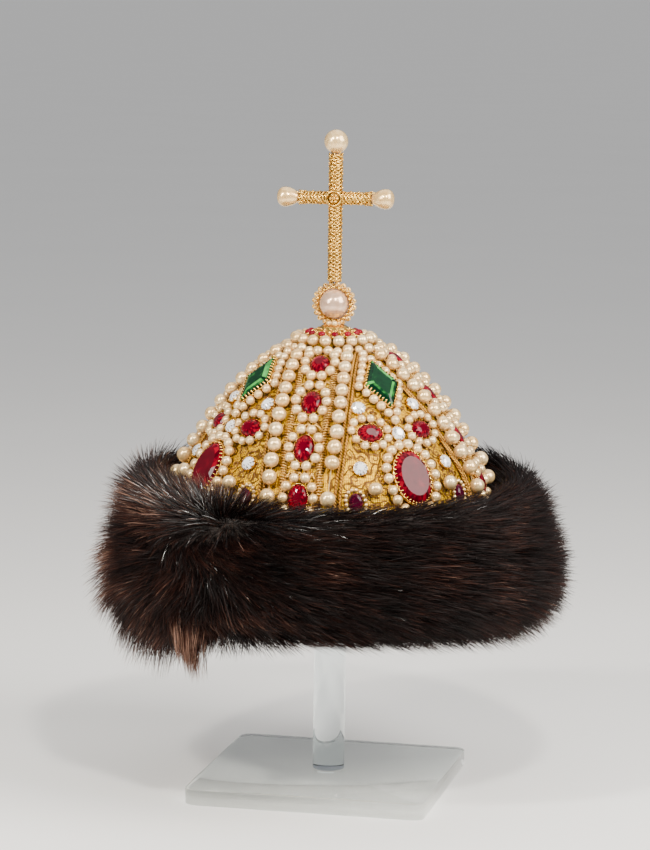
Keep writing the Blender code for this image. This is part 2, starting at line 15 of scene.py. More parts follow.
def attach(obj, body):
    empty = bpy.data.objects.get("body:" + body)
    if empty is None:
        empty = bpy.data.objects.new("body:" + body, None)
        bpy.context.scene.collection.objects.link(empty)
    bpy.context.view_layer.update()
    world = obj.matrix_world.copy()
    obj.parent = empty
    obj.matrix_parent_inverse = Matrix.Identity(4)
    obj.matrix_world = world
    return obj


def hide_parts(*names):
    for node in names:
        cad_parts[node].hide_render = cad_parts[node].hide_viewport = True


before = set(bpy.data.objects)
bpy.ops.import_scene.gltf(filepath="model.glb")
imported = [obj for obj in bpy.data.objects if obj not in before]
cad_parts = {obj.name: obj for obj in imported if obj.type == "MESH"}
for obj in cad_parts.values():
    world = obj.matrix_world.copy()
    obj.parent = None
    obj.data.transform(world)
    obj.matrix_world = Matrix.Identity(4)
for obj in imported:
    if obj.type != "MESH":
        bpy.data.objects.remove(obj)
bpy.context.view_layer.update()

MM = 0.001
RNG = np.random.default_rng(7)
RIGHT, BACK, UP = np.eye(3)
MARKS = (("l", -1), ("r", 1))

# Photograph: picture height, scale at the crown's axis, and the camera that it gives
PICTURE_HEIGHT = 850
METRES_PER_PIXEL = 0.000615
CAMERA_DISTANCE = 1.9
CAMERA_BEARING = radians(12.5)
CAMERA_HEIGHT = 0.497
CAMERA_PITCH = radians(8.05)
CAMERA_ROLL = radians(0.7)
AXIS_RIGHT_OF_CENTRE_PX = 7.8
SENSOR_HEIGHT = 36.0

# Cap: radius and height down its section in millimetres
CAP_SECTION = (
    (0.0, 283.5), (19.8, 278.5), (34.5, 271.5), (53.2, 254.5), (64.2, 242.5),
    (76.7, 223.5), (89.7, 201.5), (93.8, 185.0), (94.8, 160.0), (95.0, 118.0),
)
CAP_WALL = 2.5 * MM
CAP_MEAN_RADIUS = 80.0 * MM
CAP_STEPS = 128
CAP_ROWS = 52
CAP_ROW_CROWDING = 0.9
CAP_POLE_RADIUS = 0.2 * MM
PEARL_LEVEL = 4.0 * MM
NARROW_PANELS = {"front": 0.0, "right": 90.0, "back": 180.0, "left": 270.0}
WIDE_PANELS = {"front_right": 45.0, "back_right": 135.0, "back_left": 225.0, "front_left": 315.0}
PANEL_STEP = radians(45.0)

# Narrow panels
OVAL_HALF_WIDTH = 6.2 * MM
OVALS = MM * np.array([(40.5, 7.5), (70.0, 8.5), (101.0, 9.0), (132.5, 9.0)])  # down, half length
OVAL_RING_MARGIN = (3.2 * MM, 3.8 * MM)
NARROW_PEARL_RADIUS = 3.1 * MM
NARROW_RING_PEARLS = 10
STRING_PEARLS = 11
STRING_START = 32.4 * MM
STRING_END = 138.0 * MM
STRING_GROWTH = 1.35
STRING_PEARL_RADII = (3.95 * MM, 4.85 * MM)
STRING_ACROSS = MM * np.array([(35.0, 16.3), (59.0, 17.3), (85.0, 18.4), (150.0, 18.4)])
STRING_WITH_GAP = ("front", "r")
STRING_GAP_PLACE = -2
RIB_FROM_STRING = 5.7 * MM
RIB_END = 149.0 * MM
RIB_TOP = 15.0 * MM
PLY_PITCH = 3.6 * MM
PLY_STEPS = 6
PLY_RADIUS = 0.80 * MM
PLY_TWIST = 0.5 * MM
CORD_FROM_MIDDLE = 1.35 * MM

# Purl: springs beside the ovals with a thread through each, and loose pieces between the rings
SPRING_ACROSS = 11.4 * MM
SPRING_RADIUS = 2.4 * MM
SPRING_PITCH = 1.7 * MM
SPRING_STEPS = 9
SPRING_WIRE = 0.4 * MM
SPRING_LIFT = 1.3 * MM
SPRING_RISE = 0.95 * MM
SPRING_SWAY = 0.5 * MM
SPRING_SWAY_LENGTH = 9 * MM
CORE_STEP = 12
CORE_LIFT = 0.9 * MM
CORE_RADIUS = 1.5 * MM
PURL_ROWS = (55.5 * MM, 85.5 * MM, 117.0 * MM)
PURL_ACROSS = np.arange(-8.0, 8.1, 2.0) * MM
PURL_STEPS = 13
PURL_RADIUS = 0.62 * MM
PURL_LIFT = 0.75 * MM

# Wide panels
RHOMBUS_DOWN = 58.5 * MM
RHOMBUS_HALF_LENGTH = 18.5 * MM
RHOMBUS_HALF_WIDTH = 12.2 * MM
CORNER_CUT = 0.07
DIAMOND_HALF_LENGTH = 25.0 * MM
DIAMOND_HALF_WIDTH = 14.6 * MM
DIAMOND_PEARLS_A_SIDE = 5
DIAMOND_PEARL_RADIUS = 2.85 * MM
SIDE_OVAL_ACROSS = 19.0 * MM
SIDE_OVAL_DOWN = 90.7 * MM
SIDE_OVAL = (8.0 * MM, 6.0 * MM)
SIDE_RING = (11.5 * MM, 9.5 * MM, 11, 2.65 * MM)  # half width, half length, pearls, their radius
LARGE_OVAL_DOWN = 121.0 * MM
LARGE_OVAL = (12.4 * MM, 17.0 * MM)
LARGE_RING = (16.8 * MM, 21.3 * MM, 18, 3.15 * MM)
BASE_OVAL_ACROSS = 39.5 * MM
BASE_OVAL_DOWN = 134.0 * MM
BASE_OVAL = (4.2 * MM, 5.6 * MM)
BASE_RING = (6.2 * MM, 7.6 * MM, 16)
BASE_PEARL_RADIUS = 1.25 * MM
BASE_PEARL_LIFT = 1.3 * MM
RHINESTONE = (4.4 * MM, 4.4 * MM)
RHINESTONES = MM * np.array([(-20.5, 73.5), (20.5, 73.5), (0.0, 91.8), (-32.0, 113.5), (32.0, 113.5)])
SCROLL_ROWS = np.arange(66.0, 142.0, 8.0) * MM
SCROLL_START = 4.0 * MM
SCROLL_STEP = 8.2 * MM
SCROLL_MARGIN = 9.0 * MM
SCROLL_LIFT = 0.12 * MM
SCROLL_CORD_RADIUS = 0.34 * MM

# Single pearls: across, down, radius
SINGLE_PEARLS_NARROW = MM * np.array([
    (-9.0, 30.2, 2.9), (9.0, 30.2, 2.9), (-15.2, 28.8, 3.3), (15.2, 28.8, 3.3),
])
SINGLE_PEARLS_WIDE = MM * np.array([(-27.0, 127.0, 4.4), (27.0, 127.0, 4.4), (0.0, 28.4, 2.7)])

# Cuts: share of the outline and height in millimetres, from the underside up to the table
OVAL_SIDES = 16
LARGE_OVAL_SIDES = 24
PLAIN_CUT = ((0.94, 0.7), (1.0, 2.2), (0.92, 3.4), (0.76, 4.3), (0.54, 4.8))
STEP_CUT = ((0.86, 1.0), (0.95, 4.2), (1.0, 5.3), (0.86, 6.3), (0.72, 7.0), (0.56, 7.5))
TALL_CUT = ((0.95, 1.0), (1.0, 3.2), (0.93, 4.7), (0.80, 6.0))
RHINESTONE_CUT = ((0.9, 0.8), (1.0, 2.2), (0.84, 3.3), (0.55, 4.1))
DARK_CUT = ((0.95, 0.6), (1.0, 1.6), (0.85, 2.6), (0.6, 3.2))
# Claws: their number, height, thickness and reach, and the share that the wall narrows to at its foot
PLAIN_CLAWS = (8, 2.6 * MM, 0.6 * MM, 1.0 * MM, 1.0)
RHOMBUS_CLAWS = (36, 5.4 * MM, 1.0 * MM, 1.6 * MM, 0.88)
LARGE_CLAWS = (38, 3.8 * MM, 0.9 * MM, 1.7 * MM, 1.0)
RHINESTONE_CLAWS = (8, 2.5 * MM, 0.6 * MM, 1.0 * MM, 1.0)
CLAW_SECTION = ((0.0, 0.0), (0.0, 1.0), (-0.28, 1.22), (-0.62, 1.18))
CLAW_TAPER = np.array([0.55, 0.6, 0.5, 0.3])
CLAW_OFFSET = 0.25 * MM
WALL_SHARE = 1.045
WALL_FOOT = 0.2 * MM
WALL_TOP = 0.8

# Ring of pearls under the collar
TOP_RING_DOWN = 22.3 * MM
TOP_PEARL_RADIUS = 3.6 * MM
TOP_RING_PEARLS = 18
TOP_RING_LIFT = 5.7 * MM

# Finial: the collar's section, and the rings of grains on it
COLLAR_SECTION = MM * np.array([
    (0.0, 291.6), (4.4, 291.4), (7.4, 290.8), (9.2, 289.4), (10.2, 287.2), (12.6, 286.3),
    (16.0, 285.7), (17.0, 284.8), (15.6, 283.6), (10.5, 284.2), (0.0, 283.9),
])
COLLAR_STEPS = 48
PETALS = 12
COLLAR_GRAINS = (
    # radius, height, number, size of a grain, in millimetres
    (17.4, 285.4, PETALS, 0.95), (12.4, 287.3, PETALS, 0.95), (9.7, 288.8, 16, 0.85),
)
ORB_HEIGHT = 304.0 * MM
ORB_RADIUS = 9.2 * MM
ORB_RING_BEADS = 20
WRAP_STEPS = 216
CROSS_FOOT = 317.9 * MM
CROSS_HEAD = 396.2 * MM
CROSS_ARM_HEIGHT = 369.3 * MM
CROSS_ARM_START = 4.0 * MM
CROSS_ARM_REACH = 22.4 * MM
CROSS_SHAFT_RADIUS = 3.7 * MM
CROSS_ARM_RADIUS = 3.4 * MM
LATTICE_WIRES = 6
LATTICE_PITCH = 13.0 * MM
CROWN_CLAWS = 8
TOP_CROSS_PEARL_RADIUS = 7.4 * MM
PEAR_STEPS = 32
PEAR_SECTION = (
    # radius, and height towards the arm, in millimetres
    (0.6, 0.0), (2.0, -0.1), (3.0, -0.8), (4.2, -2.6), (5.4, -5.0), (6.2, -8.0), (6.1, -10.4),
    (5.0, -12.4), (3.1, -13.6), (1.0, -14.1),
)

# Fur brim: the pelt under the hair, in millimetres
FUR_SECTION = (
    # radius, height, share of the ridge's rise, inset of the pelt below the hair's outer form
    (95.8, 122.5, 0.0, 0.0), (101.0, 117.0, 0.0, 2.0), (117.0, 114.0, 0.0, 6.0),
    (131.0, 119.5, 0.0, 9.0), (140.5, 131.0, 0.0, 9.5), (142.5, 148.0, 0.2, 9.0),
    (137.5, 165.0, 0.5, 9.0), (128.5, 182.0, 0.8, 9.0), (119.5, 193.0, 1.0, 7.0),
    (111.5, 188.5, 0.8, 2.5), (106.0, 180.5, 0.0, 0.0), (99.0, 173.0, 0.0, 0.0),
    (95.8, 158.0, 0.0, 0.0),
)
FUR_STEPS = 12
FUR_CENTRE = (118.0, 148.0)
FUR_RISE = 15.0 * MM
FUR_SHIFT = 3.0 * MM
FUR_SEAM = radians(-28.0)
FUR_HALF_DEPTH = 38.0 * MM
PELT_STATIONS = 120
PELT_ROWS = 40
PELT_INSET = 1.15
# Hair: stretches of the section, counted in points of FUR_SECTION, and numbers of strands
HAIR_STRETCH = (0.4, 10.2)
TUFT_STRETCH = (2.0, 4.2)
LIP_KNOT = 7.6
FUR_PIECES = 3
STRANDS_PER_PIECE = 26000
GUARD_STRANDS = 5500
GUARD_SPREAD = radians(34.0)
LIP_STRANDS = 3000
LIP_BEARING = radians(-30.0)
LIP_SPREAD = radians(22.0)
TUFT_BEARING = radians(-30.0)
TUFT_SPREAD = radians(2.8)
TUFT_STRANDS = 1400
HANG_BEARING = radians(-72.0)
REACH_BEARING = radians(85.0)
LONG_HAIR = (17, 26)
SHORT_HAIR = (9, 16)
LONG_SHARE = 0.55
LOCK_ROW = 8.0
LOCK_TURN = radians(2.6)
HAIR_LEVELS = ((0.0, 1.0), (0.4, 0.95), (0.75, 0.6))  # share of the length, share of the width

# Stand
BASE_SIDE = 150.0 * MM
BASE_THICKNESS = 10.0 * MM
BASE_CORNER = 8.0 * MM
ROD_RADIUS = 10.0 * MM
ROD_STEPS = 72
DISC_RADIUS = 40.0 * MM
DISC_THICKNESS = 6.0 * MM
DISC_TOP = 262.6 * MM
SOFT_EDGE = 0.4 * MM
SHARP_ANGLE = radians(30)
GAP = 0.3 * MM

# Lights
LIGHTS = (
    # name, bearing and elevation in degrees, distance, size, power, colour
    ("softbox_right", 72.0, 35.0, 1.3, (0.75, 0.85), 34.0, (1.0, 0.96, 0.90)),
    ("softbox_left", -36.0, 24.0, 1.4, (0.28, 0.50), 13.0, (1.0, 0.95, 0.88)),
    ("lamp_right", 24.0, 44.0, 1.3, (0.10, 0.10), 14.0, (1.0, 0.95, 0.86)),
    ("lamp_left", -24.0, 40.0, 1.3, (0.10, 0.10), 12.0, (1.0, 0.95, 0.86)),
)
LIGHT_TARGET = Vector((0.0, 0.0, 0.22))
CEILING_POWER = 1.1
FLOOR_HALF_SIDE = 600.0


# Places on the dome


def length_along(line):
    return np.concatenate([[0.0], np.cumsum(np.linalg.norm(np.diff(line, axis=0), axis=1))])


def smooth_line(points, steps=24):
    """Read a natural cubic spline through points, spaced by the distances between them."""
    pts = np.array(points, float)
    gaps = np.diff(length_along(pts))
    slopes = np.diff(pts, axis=0) / gaps[:, None]
    system, bends = np.eye(len(pts)), np.zeros_like(pts)
    for i in range(1, len(pts) - 1):
        system[i, i - 1:i + 2] = gaps[i - 1], 2 * (gaps[i - 1] + gaps[i]), gaps[i]
        bends[i] = 6 * (slopes[i] - slopes[i - 1])
    bends = np.linalg.solve(system, bends)
    line = []
    for i, gap in enumerate(gaps):
        for k in range(steps):
            t = k / steps
            curve = ((1 - t) ** 3 - (1 - t)) * bends[i] + (t ** 3 - t) * bends[i + 1]
            line.append((1 - t) * pts[i] + t * pts[i + 1] + curve * gap ** 2 / 6)
    line.append(pts[-1])
    return np.array(line)


SECTION = smooth_line(CAP_SECTION) * MM
SECTION_DOWN = length_along(SECTION)
CAP_DOWN = SECTION_DOWN[-1]


def section_at(down):
    """Radius, height and outward normal of the cloth at distances down the dome."""
    places = (down, down - MM, down + MM)
    radius, before, after = (np.interp(d, SECTION_DOWN, SECTION[:, 0]) for d in places)
    height, above, below = (np.interp(d, SECTION_DOWN, SECTION[:, 1]) for d in places)
    out, up = above - below, after - before
    size = np.hypot(out, up)
    return radius, height, out / size, up / size


def reach_at(down):
    radius, _, out, _ = section_at(down)
    return radius + PEARL_LEVEL * out


def on_dome(panel, across, down, lift):
    """Points on the dome, lifted off the cloth; every argument may be an array."""
    across, down, lift = np.broadcast_arrays(across, down, lift)
    radius, height, out, up = section_at(down)
    bearing = np.radians(panel) + across / reach_at(down)
    far = radius + lift * out
    return np.stack([far * np.sin(bearing), -far * np.cos(bearing), height + lift * up], axis=-1)


def unit(vectors):
    return vectors / np.maximum(np.linalg.norm(vectors, axis=-1, keepdims=True), 1e-12)


def dome_axes(panel, across, down):
    """Unit vectors across, up the dome and out of it, stacked as the columns of matrices."""
    out = unit(on_dome(panel, across, down, MM) - on_dome(panel, across, down, 0.0))
    right, left = (on_dome(panel, np.asarray(across) + step, down, 0.0) for step in (MM, -MM))
    side = right - left
    side = unit(side - out * (side * out).sum(-1, keepdims=True))
    return np.stack([side, np.cross(out, side), out], axis=-1)


def string_across(down):
    return np.interp(down, STRING_ACROSS[:, 0], STRING_ACROSS[:, 1])


def hoop(centre, first, second, count, phase=0.0):
    """Points round an ellipse whose half axes are the vectors first and second."""
    turns = 2 * pi * (np.arange(count) + phase) / count
    return centre + np.outer(np.cos(turns), first) + np.outer(np.sin(turns), second)


def oval_at(half_width, half_length):
    """The outline of an oval, as points at shares of one turn round it."""
    def at(share):
        turns = 2 * pi * np.asarray(share)
        return np.stack([half_width * np.sin(turns), half_length * np.cos(turns)], -1)
    return at


def straight_at(corners):
    """The outline through corners, as points at shares of the way round it."""
    closed = np.concatenate([corners, corners[:1]])
    along = length_along(closed)

    def at(share):
        stops = np.asarray(share) * along[-1]
        return np.stack([np.interp(stops, along, closed[:, k]) for k in range(2)], -1)
    return at


# Mesh makers


def add_object(name, data):
    thing = bpy.data.objects.new(name, data)
    bpy.context.scene.collection.objects.link(thing)
    return thing


def add_piece(name, mesh, look, slot, *nodes):
    """One piece of the object: its look, and the solids that it stands for; the material slot is not used."""
    mesh.materials.append(look)
    piece = add_object(name, mesh)
    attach(piece, "root")
    if nodes:
        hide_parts(*nodes)
    return piece


class Mesh:
    """Collects shapes as arrays of corners and faces, to be made one object."""

    def __init__(self):
        self.verts = []
        self.faces = []
        self.count = 0
        self.values = {}

    def add(self, verts, *faces, **values):
        verts = np.asarray(verts, float).reshape(-1, 3)
        for group in faces:
            self.faces.append(np.asarray(group) + self.count)
        self.verts.append(verts)
        for name, value in values.items():
            self.values.setdefault(name, []).append(np.broadcast_to(value, len(verts)))
        self.count += len(verts)

    def build(self, name, look, slot, *nodes, smooth=True):
        mesh = bpy.data.meshes.new(name)
        mesh.vertices.add(self.count)
        mesh.vertices.foreach_set("co", np.concatenate(self.verts).astype(np.float32).ravel())
        loops = np.concatenate([group.ravel() for group in self.faces])
        sizes = np.concatenate([np.full(len(group), group.shape[1]) for group in self.faces])
        mesh.loops.add(len(loops))
        mesh.loops.foreach_set("vertex_index", loops.astype(np.int32))
        mesh.polygons.add(len(sizes))
        starts = np.concatenate([[0], np.cumsum(sizes)[:-1]])
        mesh.polygons.foreach_set("loop_start", starts.astype(np.int32))
        mesh.polygons.foreach_set("use_smooth", np.full(len(sizes), smooth))
        mesh.update(calc_edges=True)
        mesh.validate()
        for word, values in self.values.items():
            layer = mesh.attributes.new(word, "FLOAT", "POINT")
            layer.data.foreach_set("value", np.concatenate(values).astype(np.float32))
        return add_piece(name, mesh, look, slot, *nodes)


def sphere_shape(subdivisions):
    form = bmesh.new()
    bmesh.ops.create_icosphere(form, subdivisions=subdivisions, radius=1.0)
    verts = np.array([v.co[:] for v in form.verts])
    faces = np.array([[v.index for v in f.verts] for f in form.faces])
    form.free()
    return verts, faces


COARSE_BALL, BALL, FINE_BALL = (sphere_shape(subdivisions) for subdivisions in (2, 3, 4))


def add_copies(mesh, shape, origins, axes, sizes, **values):
    """Copies of a shape, given as corners and faces, at origins, turned by axes, scaled by sizes."""
    verts, faces = shape
    origins = np.atleast_2d(origins)
    number = len(origins)
    sizes = np.broadcast_to(np.asarray(sizes, float).reshape(-1, 1, 1), (number, 1, 1))
    placed = np.einsum("nij,vj->nvi", np.broadcast_to(axes, (number, 3, 3)), verts) * sizes + origins[:, None]
    steps = (np.arange(number) * len(verts))[:, None, None]
    spread = {name: np.repeat(np.broadcast_to(value, number), len(verts)) for name, value in values.items()}
    mesh.add(placed, (faces[None] + steps).reshape(-1, 3), **spread)


def add_balls(mesh, centres, radii, ball=COARSE_BALL, **values):
    add_copies(mesh, ball, centres, np.eye(3), radii, **values)


def add_pearls(mesh, centres, radii, ball=BALL):
    """Pearls that are turned at random and a little out of round."""
    centres = np.atleast_2d(centres)
    turns = RNG.normal(size=(len(centres), 4))
    axes = np.array([np.array(Matrix.Rotation(t[0] * pi, 3, Vector(t[1:]))) for t in turns])
    squash = 1 + RNG.uniform(-0.035, 0.035, (len(centres), 1, 3))
    radii = np.broadcast_to(radii, len(centres)) * (1 + RNG.uniform(-0.03, 0.03, len(centres)))
    add_copies(mesh, ball, centres, axes * squash, radii, tint=RNG.uniform(0, 1, len(centres)))


def lay_pearls(mesh, panel, across, down, radius):
    """Pearls that lie on the cloth."""
    add_pearls(mesh, on_dome(panel, across, down, radius + GAP), radius)


def tube_faces(rings, sides, closed):
    i = np.arange(rings if closed else rings - 1)[:, None]
    j = np.arange(sides)[None]
    after, beside = (i + 1) % rings, (j + 1) % sides
    quads = np.stack([i * sides + j, i * sides + beside, after * sides + beside, after * sides + j], -1)
    return quads.reshape(-1, 4)


def add_tube(mesh, path, radius, reference, sides=6, closed=False, flatten=1.0, **values):
    """A round or flattened wire through points; reference is a direction square to its path."""
    path = np.asarray(path, float)
    along = np.gradient(path, axis=0)
    if closed:
        along = np.roll(path, -1, 0) - np.roll(path, 1, 0)
    along = unit(along)
    side = unit(np.cross(along, np.broadcast_to(reference, path.shape)))
    up = np.cross(side, along)
    radius = np.broadcast_to(radius, len(path))[:, None, None]
    turns = (2 * pi * np.arange(sides) / sides)[None, :, None]
    ring = np.cos(turns) * side[:, None] + flatten * np.sin(turns) * up[:, None]
    faces = [tube_faces(len(path), sides, closed)]
    if not closed:
        last = (len(path) - 1) * sides
        faces += [np.arange(sides)[None, ::-1], np.arange(sides)[None] + last]
    mesh.add(path[:, None] + ring * radius, *faces, **values)


def lay_tube(mesh, panel, across, down, lift, radius, **more):
    """A wire along places on the dome."""
    out = dome_axes(panel, across, down)[..., 2]
    add_tube(mesh, on_dome(panel, across, down, lift), radius, out, **more)


def add_turned(mesh, section, steps, foot=np.zeros(3), axis=UP, first=RIGHT, **values):
    """A shape turned round an axis; its section, as radius and height, runs down the outer side."""
    section = np.asarray(section, float)
    ring = hoop(np.zeros(3), first, np.cross(axis, first), steps)
    verts = foot + section[:, None, :1] * ring + section[:, None, 1:] * axis
    first_end, last_end = np.arange(steps)[None], np.arange(steps)[None, ::-1] + (len(section) - 1) * steps
    mesh.add(verts, tube_faces(len(section), steps, False)[:, ::-1], first_end, last_end, **values)


def ellipse_places(across, down, half_width, half_length, count):
    """Evenly spaced places round an ellipse on the dome, half a space from its top."""
    turns = np.linspace(0, 2 * pi, 721)
    line = np.stack([half_width * np.sin(turns), -half_length * np.cos(turns)], -1)
    at = length_along(line)
    stops = (np.arange(count) + 0.5) / count * at[-1]
    return across + np.interp(stops, at, line[:, 0]), down + np.interp(stops, at, line[:, 1])


# Materials


class Look:
    """A node material with a few short words for making and joining nodes."""

    def __init__(self, name, roughness=0.5, metallic=0.0, **sockets):
        self.material = bpy.data.materials.new(name)
        self.material.use_nodes = True
        self.tree = self.material.node_tree
        self.shader = self.tree.nodes["Principled BSDF"]
        self.set(self.shader, roughness=roughness, metallic=metallic, **sockets)

    def fill(self, sockets, values):
        """Gives each socket its value, or joins it to the socket that makes the value."""
        for socket, value in zip(sockets, values):
            if isinstance(value, bpy.types.NodeSocket):
                self.tree.links.new(value, socket)
            elif socket.type == "RGBA" and len(value) == 3:
                socket.default_value = (*value, 1.0)
            else:
                socket.default_value = value

    def set(self, node, **sockets):
        words = [word.replace("_", " ").title().replace("Ior", "IOR") for word in sockets]
        self.fill([node.inputs[word] for word in words], sockets.values())

    def node(self, kind, settings=None, **sockets):
        made = self.tree.nodes.new("ShaderNode" + kind)
        for word, value in (settings or {}).items():
            setattr(made, word, value)
        self.set(made, **sockets)
        return made

    def place(self, size):
        """Object coordinates, scaled so that one unit is the given length."""
        coordinates = self.node("TexCoord").outputs["Object"]
        return self.node("Mapping", vector=coordinates, scale=(1 / size,) * 3).outputs["Vector"]

    def noise(self, size, detail=3.0):
        made = self.node("TexNoise", vector=self.place(size), detail=detail, roughness=0.6, scale=1.0)
        return made.outputs["Fac"]

    def wave(self, direction, scale, distortion, vector):
        settings = {"wave_type": "BANDS", "bands_direction": direction}
        made = self.node("TexWave", settings, vector=vector, scale=scale, distortion=distortion)
        return made.outputs["Fac"]

    def attribute(self, name):
        return self.node("Attribute", {"attribute_name": name}).outputs["Fac"]

    def ramp(self, value, *stops):
        """Colour ramp through (position, colour) stops; a single number is a grey."""
        made = self.node("ValToRGB", fac=value)
        points = made.color_ramp.elements
        while len(points) < len(stops):
            points.new(0.5)
        for point, (position, colour) in zip(points, stops):
            point.position = position
            point.color = (*np.broadcast_to(colour, 3), 1.0)
        return made.outputs["Color"]

    def math(self, operation, *values):
        made = self.node("Math", {"operation": operation})
        self.fill(made.inputs, values)
        return made.outputs["Value"]

    def weigh(self, first, share, second, other):
        """The first value times its share, plus the second times its own."""
        return self.math("MULTIPLY_ADD", first, share, self.math("MULTIPLY", second, other))

    def mix(self, *values):
        made = self.node("Mix", {"data_type": "RGBA"})
        self.fill([s for s in made.inputs if s.enabled], values)
        return [s for s in made.outputs if s.enabled][0]

    def bump(self, height, distance, strength=1.0):
        made = self.node("Bump", height=height, distance=distance, strength=strength)
        self.set(self.shader, normal=made.outputs["Normal"])

    def colour(self, value):
        self.set(self.shader, base_color=value)


def pearl_look(name, pale, warm, shaded_colour):
    look = Look(name, roughness=0.24, metallic=0.5, coat_weight=0.8, coat_roughness=0.03)
    body = look.mix(look.attribute("tint"), pale, warm)
    # the shaded colour is put on in random golden clouds: painted shade
    shade_cloud = look.noise(2.6 * MM, detail=2.0)
    look.colour(look.mix(look.math("MULTIPLY_ADD", shade_cloud, 1.7, -0.5), body, shaded_colour))
    look.bump(look.noise(1.3 * MM), 0.04 * MM, 0.5)
    return look.material


def gold_look(name, bright, dark, roughness):
    look = Look(name, roughness=roughness, metallic=1.0)
    fleck = look.noise(0.8 * MM, detail=4.0)
    look.colour(look.ramp(fleck, (0.32, dark), (0.62, bright)))
    look.bump(fleck, 0.12 * MM, 0.6)
    return look.material


def thread_look(name, bright, dark, roughness, metallic, twist=0.9 * MM):
    """Metal thread: fine bands along and across the thread."""
    look = Look(name, roughness=roughness, metallic=metallic, specular_ior_level=0.3)
    fine = look.wave("DIAGONAL", 1.0, 1.5, look.place(twist))
    look.colour(look.ramp(look.weigh(look.noise(3 * MM), 0.5, fine, 0.5), (0.22, dark), (0.68, bright)))
    look.bump(fine, 0.1 * MM, 0.5)
    return look.material


def stone_look(name, lit, mid, shaded_colour, light_streak_size):
    """Foil-backed cut glass under a hard gloss: each facet is painted its own brightness, with a noise streak
    across the stone, as painted light and shade.
    """
    look = Look(name, roughness=0.04, specular_ior_level=0.17)
    shade = look.weigh(look.attribute("facet"), 0.55, look.noise(light_streak_size, detail=1.0), 0.5)
    look.colour(look.ramp(shade, (0.1, shaded_colour), (0.55, mid), (0.95, lit)))
    return look.material


def rhinestone_look():
    look = Look("clear_stone", roughness=0.05, metallic=0.25, coat_weight=1.0, coat_roughness=0.01)
    # facets painted from dark grey to white: painted sparkle, the light and shade that a cut stone catches
    stops = ((0.0, (0.16, 0.14, 0.16)), (0.22, (0.62, 0.60, 0.62)), (0.42, (1.0, 0.99, 0.97)))
    look.colour(look.ramp(look.attribute("facet"), *stops))
    return look.material


def brocade_look():
    """Yellow-gold brocade: crossed metal threads and a woven leafy scroll."""
    look = Look("brocade", roughness=0.40, metallic=0.65, specular_ior_level=0.25)
    weave = look.node("UVMap").outputs["UV"]
    bands = []
    for turn, threads_per_metre in ((0.0, 250.0), (pi / 2, 1900.0 / 6.0)):
        turned = look.node("Mapping", vector=weave, rotation=(0.0, 0.0, turn))
        bands.append(look.wave("X", threads_per_metre, 0.6, turned.outputs["Vector"]))
    thread = look.math("MULTIPLY", *bands)
    swirl = look.math("MULTIPLY", look.noise(11 * MM, detail=1.5), 7.0)
    scroll = look.math("ABSOLUTE", look.math("SUBTRACT", look.math("FRACT", swirl), 0.5))
    outline = look.ramp(scroll, (0.0, 1.0), (0.12, 0.95), (0.20, 0.0))
    shine = look.weigh(thread, 0.6, look.noise(2.5 * MM), 0.5)
    stops = ((0.2, (0.24, 0.10, 0.001)), (0.5, (0.64, 0.35, 0.005)), (0.85, (0.98, 0.67, 0.025)))
    gold = look.ramp(shine, *stops)
    look.colour(look.mix(look.math("MULTIPLY", outline, 0.92), gold, (0.06, 0.018, 0.003)))
    look.bump(look.math("SUBTRACT", thread, look.math("MULTIPLY", outline, 1.5)), 0.2 * MM, 0.7)
    return look.material


def fur_look(name, root, middle, tip, roughness=0.45, gloss=0.10):
    """Hair that pales from root to tip, more in some strands and patches than in others."""
    look = Look(name, roughness=roughness, specular_ior_level=gloss)
    shade = look.weigh(look.attribute("tint"), 0.5, look.attribute("along"), 0.55)
    patch = look.math("MULTIPLY_ADD", look.noise(35 * MM, detail=1.0), 0.5, -0.25)
    stops = ((0.2, root), (0.62, middle), (0.86, tip), (1.0, (0.30, 0.17, 0.12)))
    look.colour(look.ramp(look.math("ADD", shade, patch), *stops))
    return look.material


def pelt_look():
    look = Look("pelt", roughness=0.8, sheen_weight=0.2)
    look.colour(look.ramp(look.noise(3 * MM), (0.3, (0.006, 0.004, 0.003)), (0.7, (0.03, 0.016, 0.010))))
    look.bump(look.noise(1.5 * MM), 1.0 * MM)
    return look.material


def acrylic_look():
    look = Look("clear_acrylic", roughness=0.01, transmission_weight=1.0, ior=1.49)
    look.colour(look.ramp(look.noise(30 * MM), (0.0, (0.84, 0.90, 0.91)), (1.0, (0.89, 0.94, 0.95))))
    return look.material


PEARL = pearl_look("pearl", (0.93, 0.74, 0.42), (0.86, 0.59, 0.26), (0.58, 0.31, 0.085))
ORB_PEARL = pearl_look("orb_pearl", (0.72, 0.50, 0.36), (0.68, 0.46, 0.32), (0.50, 0.29, 0.17))
GILT = gold_look("gilt_metal", (1.0, 0.65, 0.15), (0.42, 0.19, 0.025), 0.24)
# darker gilt for the bar under the cross's wires: painted shade in the crevices between them
SHADED_GILT = gold_look("gilt_in_painted_shade", (0.42, 0.23, 0.05), (0.08, 0.035, 0.006), 0.4)
BRAID = thread_look("gold_braid", (0.50, 0.25, 0.035), (0.07, 0.022, 0.003), 0.45, 0.6, 4.5 * MM)
PURL = thread_look("gold_purl", (0.90, 0.56, 0.15), (0.26, 0.12, 0.02), 0.28, 0.9)
OUTLINE = thread_look("brown_outline", (0.26, 0.12, 0.035), (0.09, 0.035, 0.012), 0.6, 0.15)
SEWING = thread_look("sewing_thread", (0.60, 0.42, 0.20), (0.30, 0.18, 0.07), 0.6, 0.1)
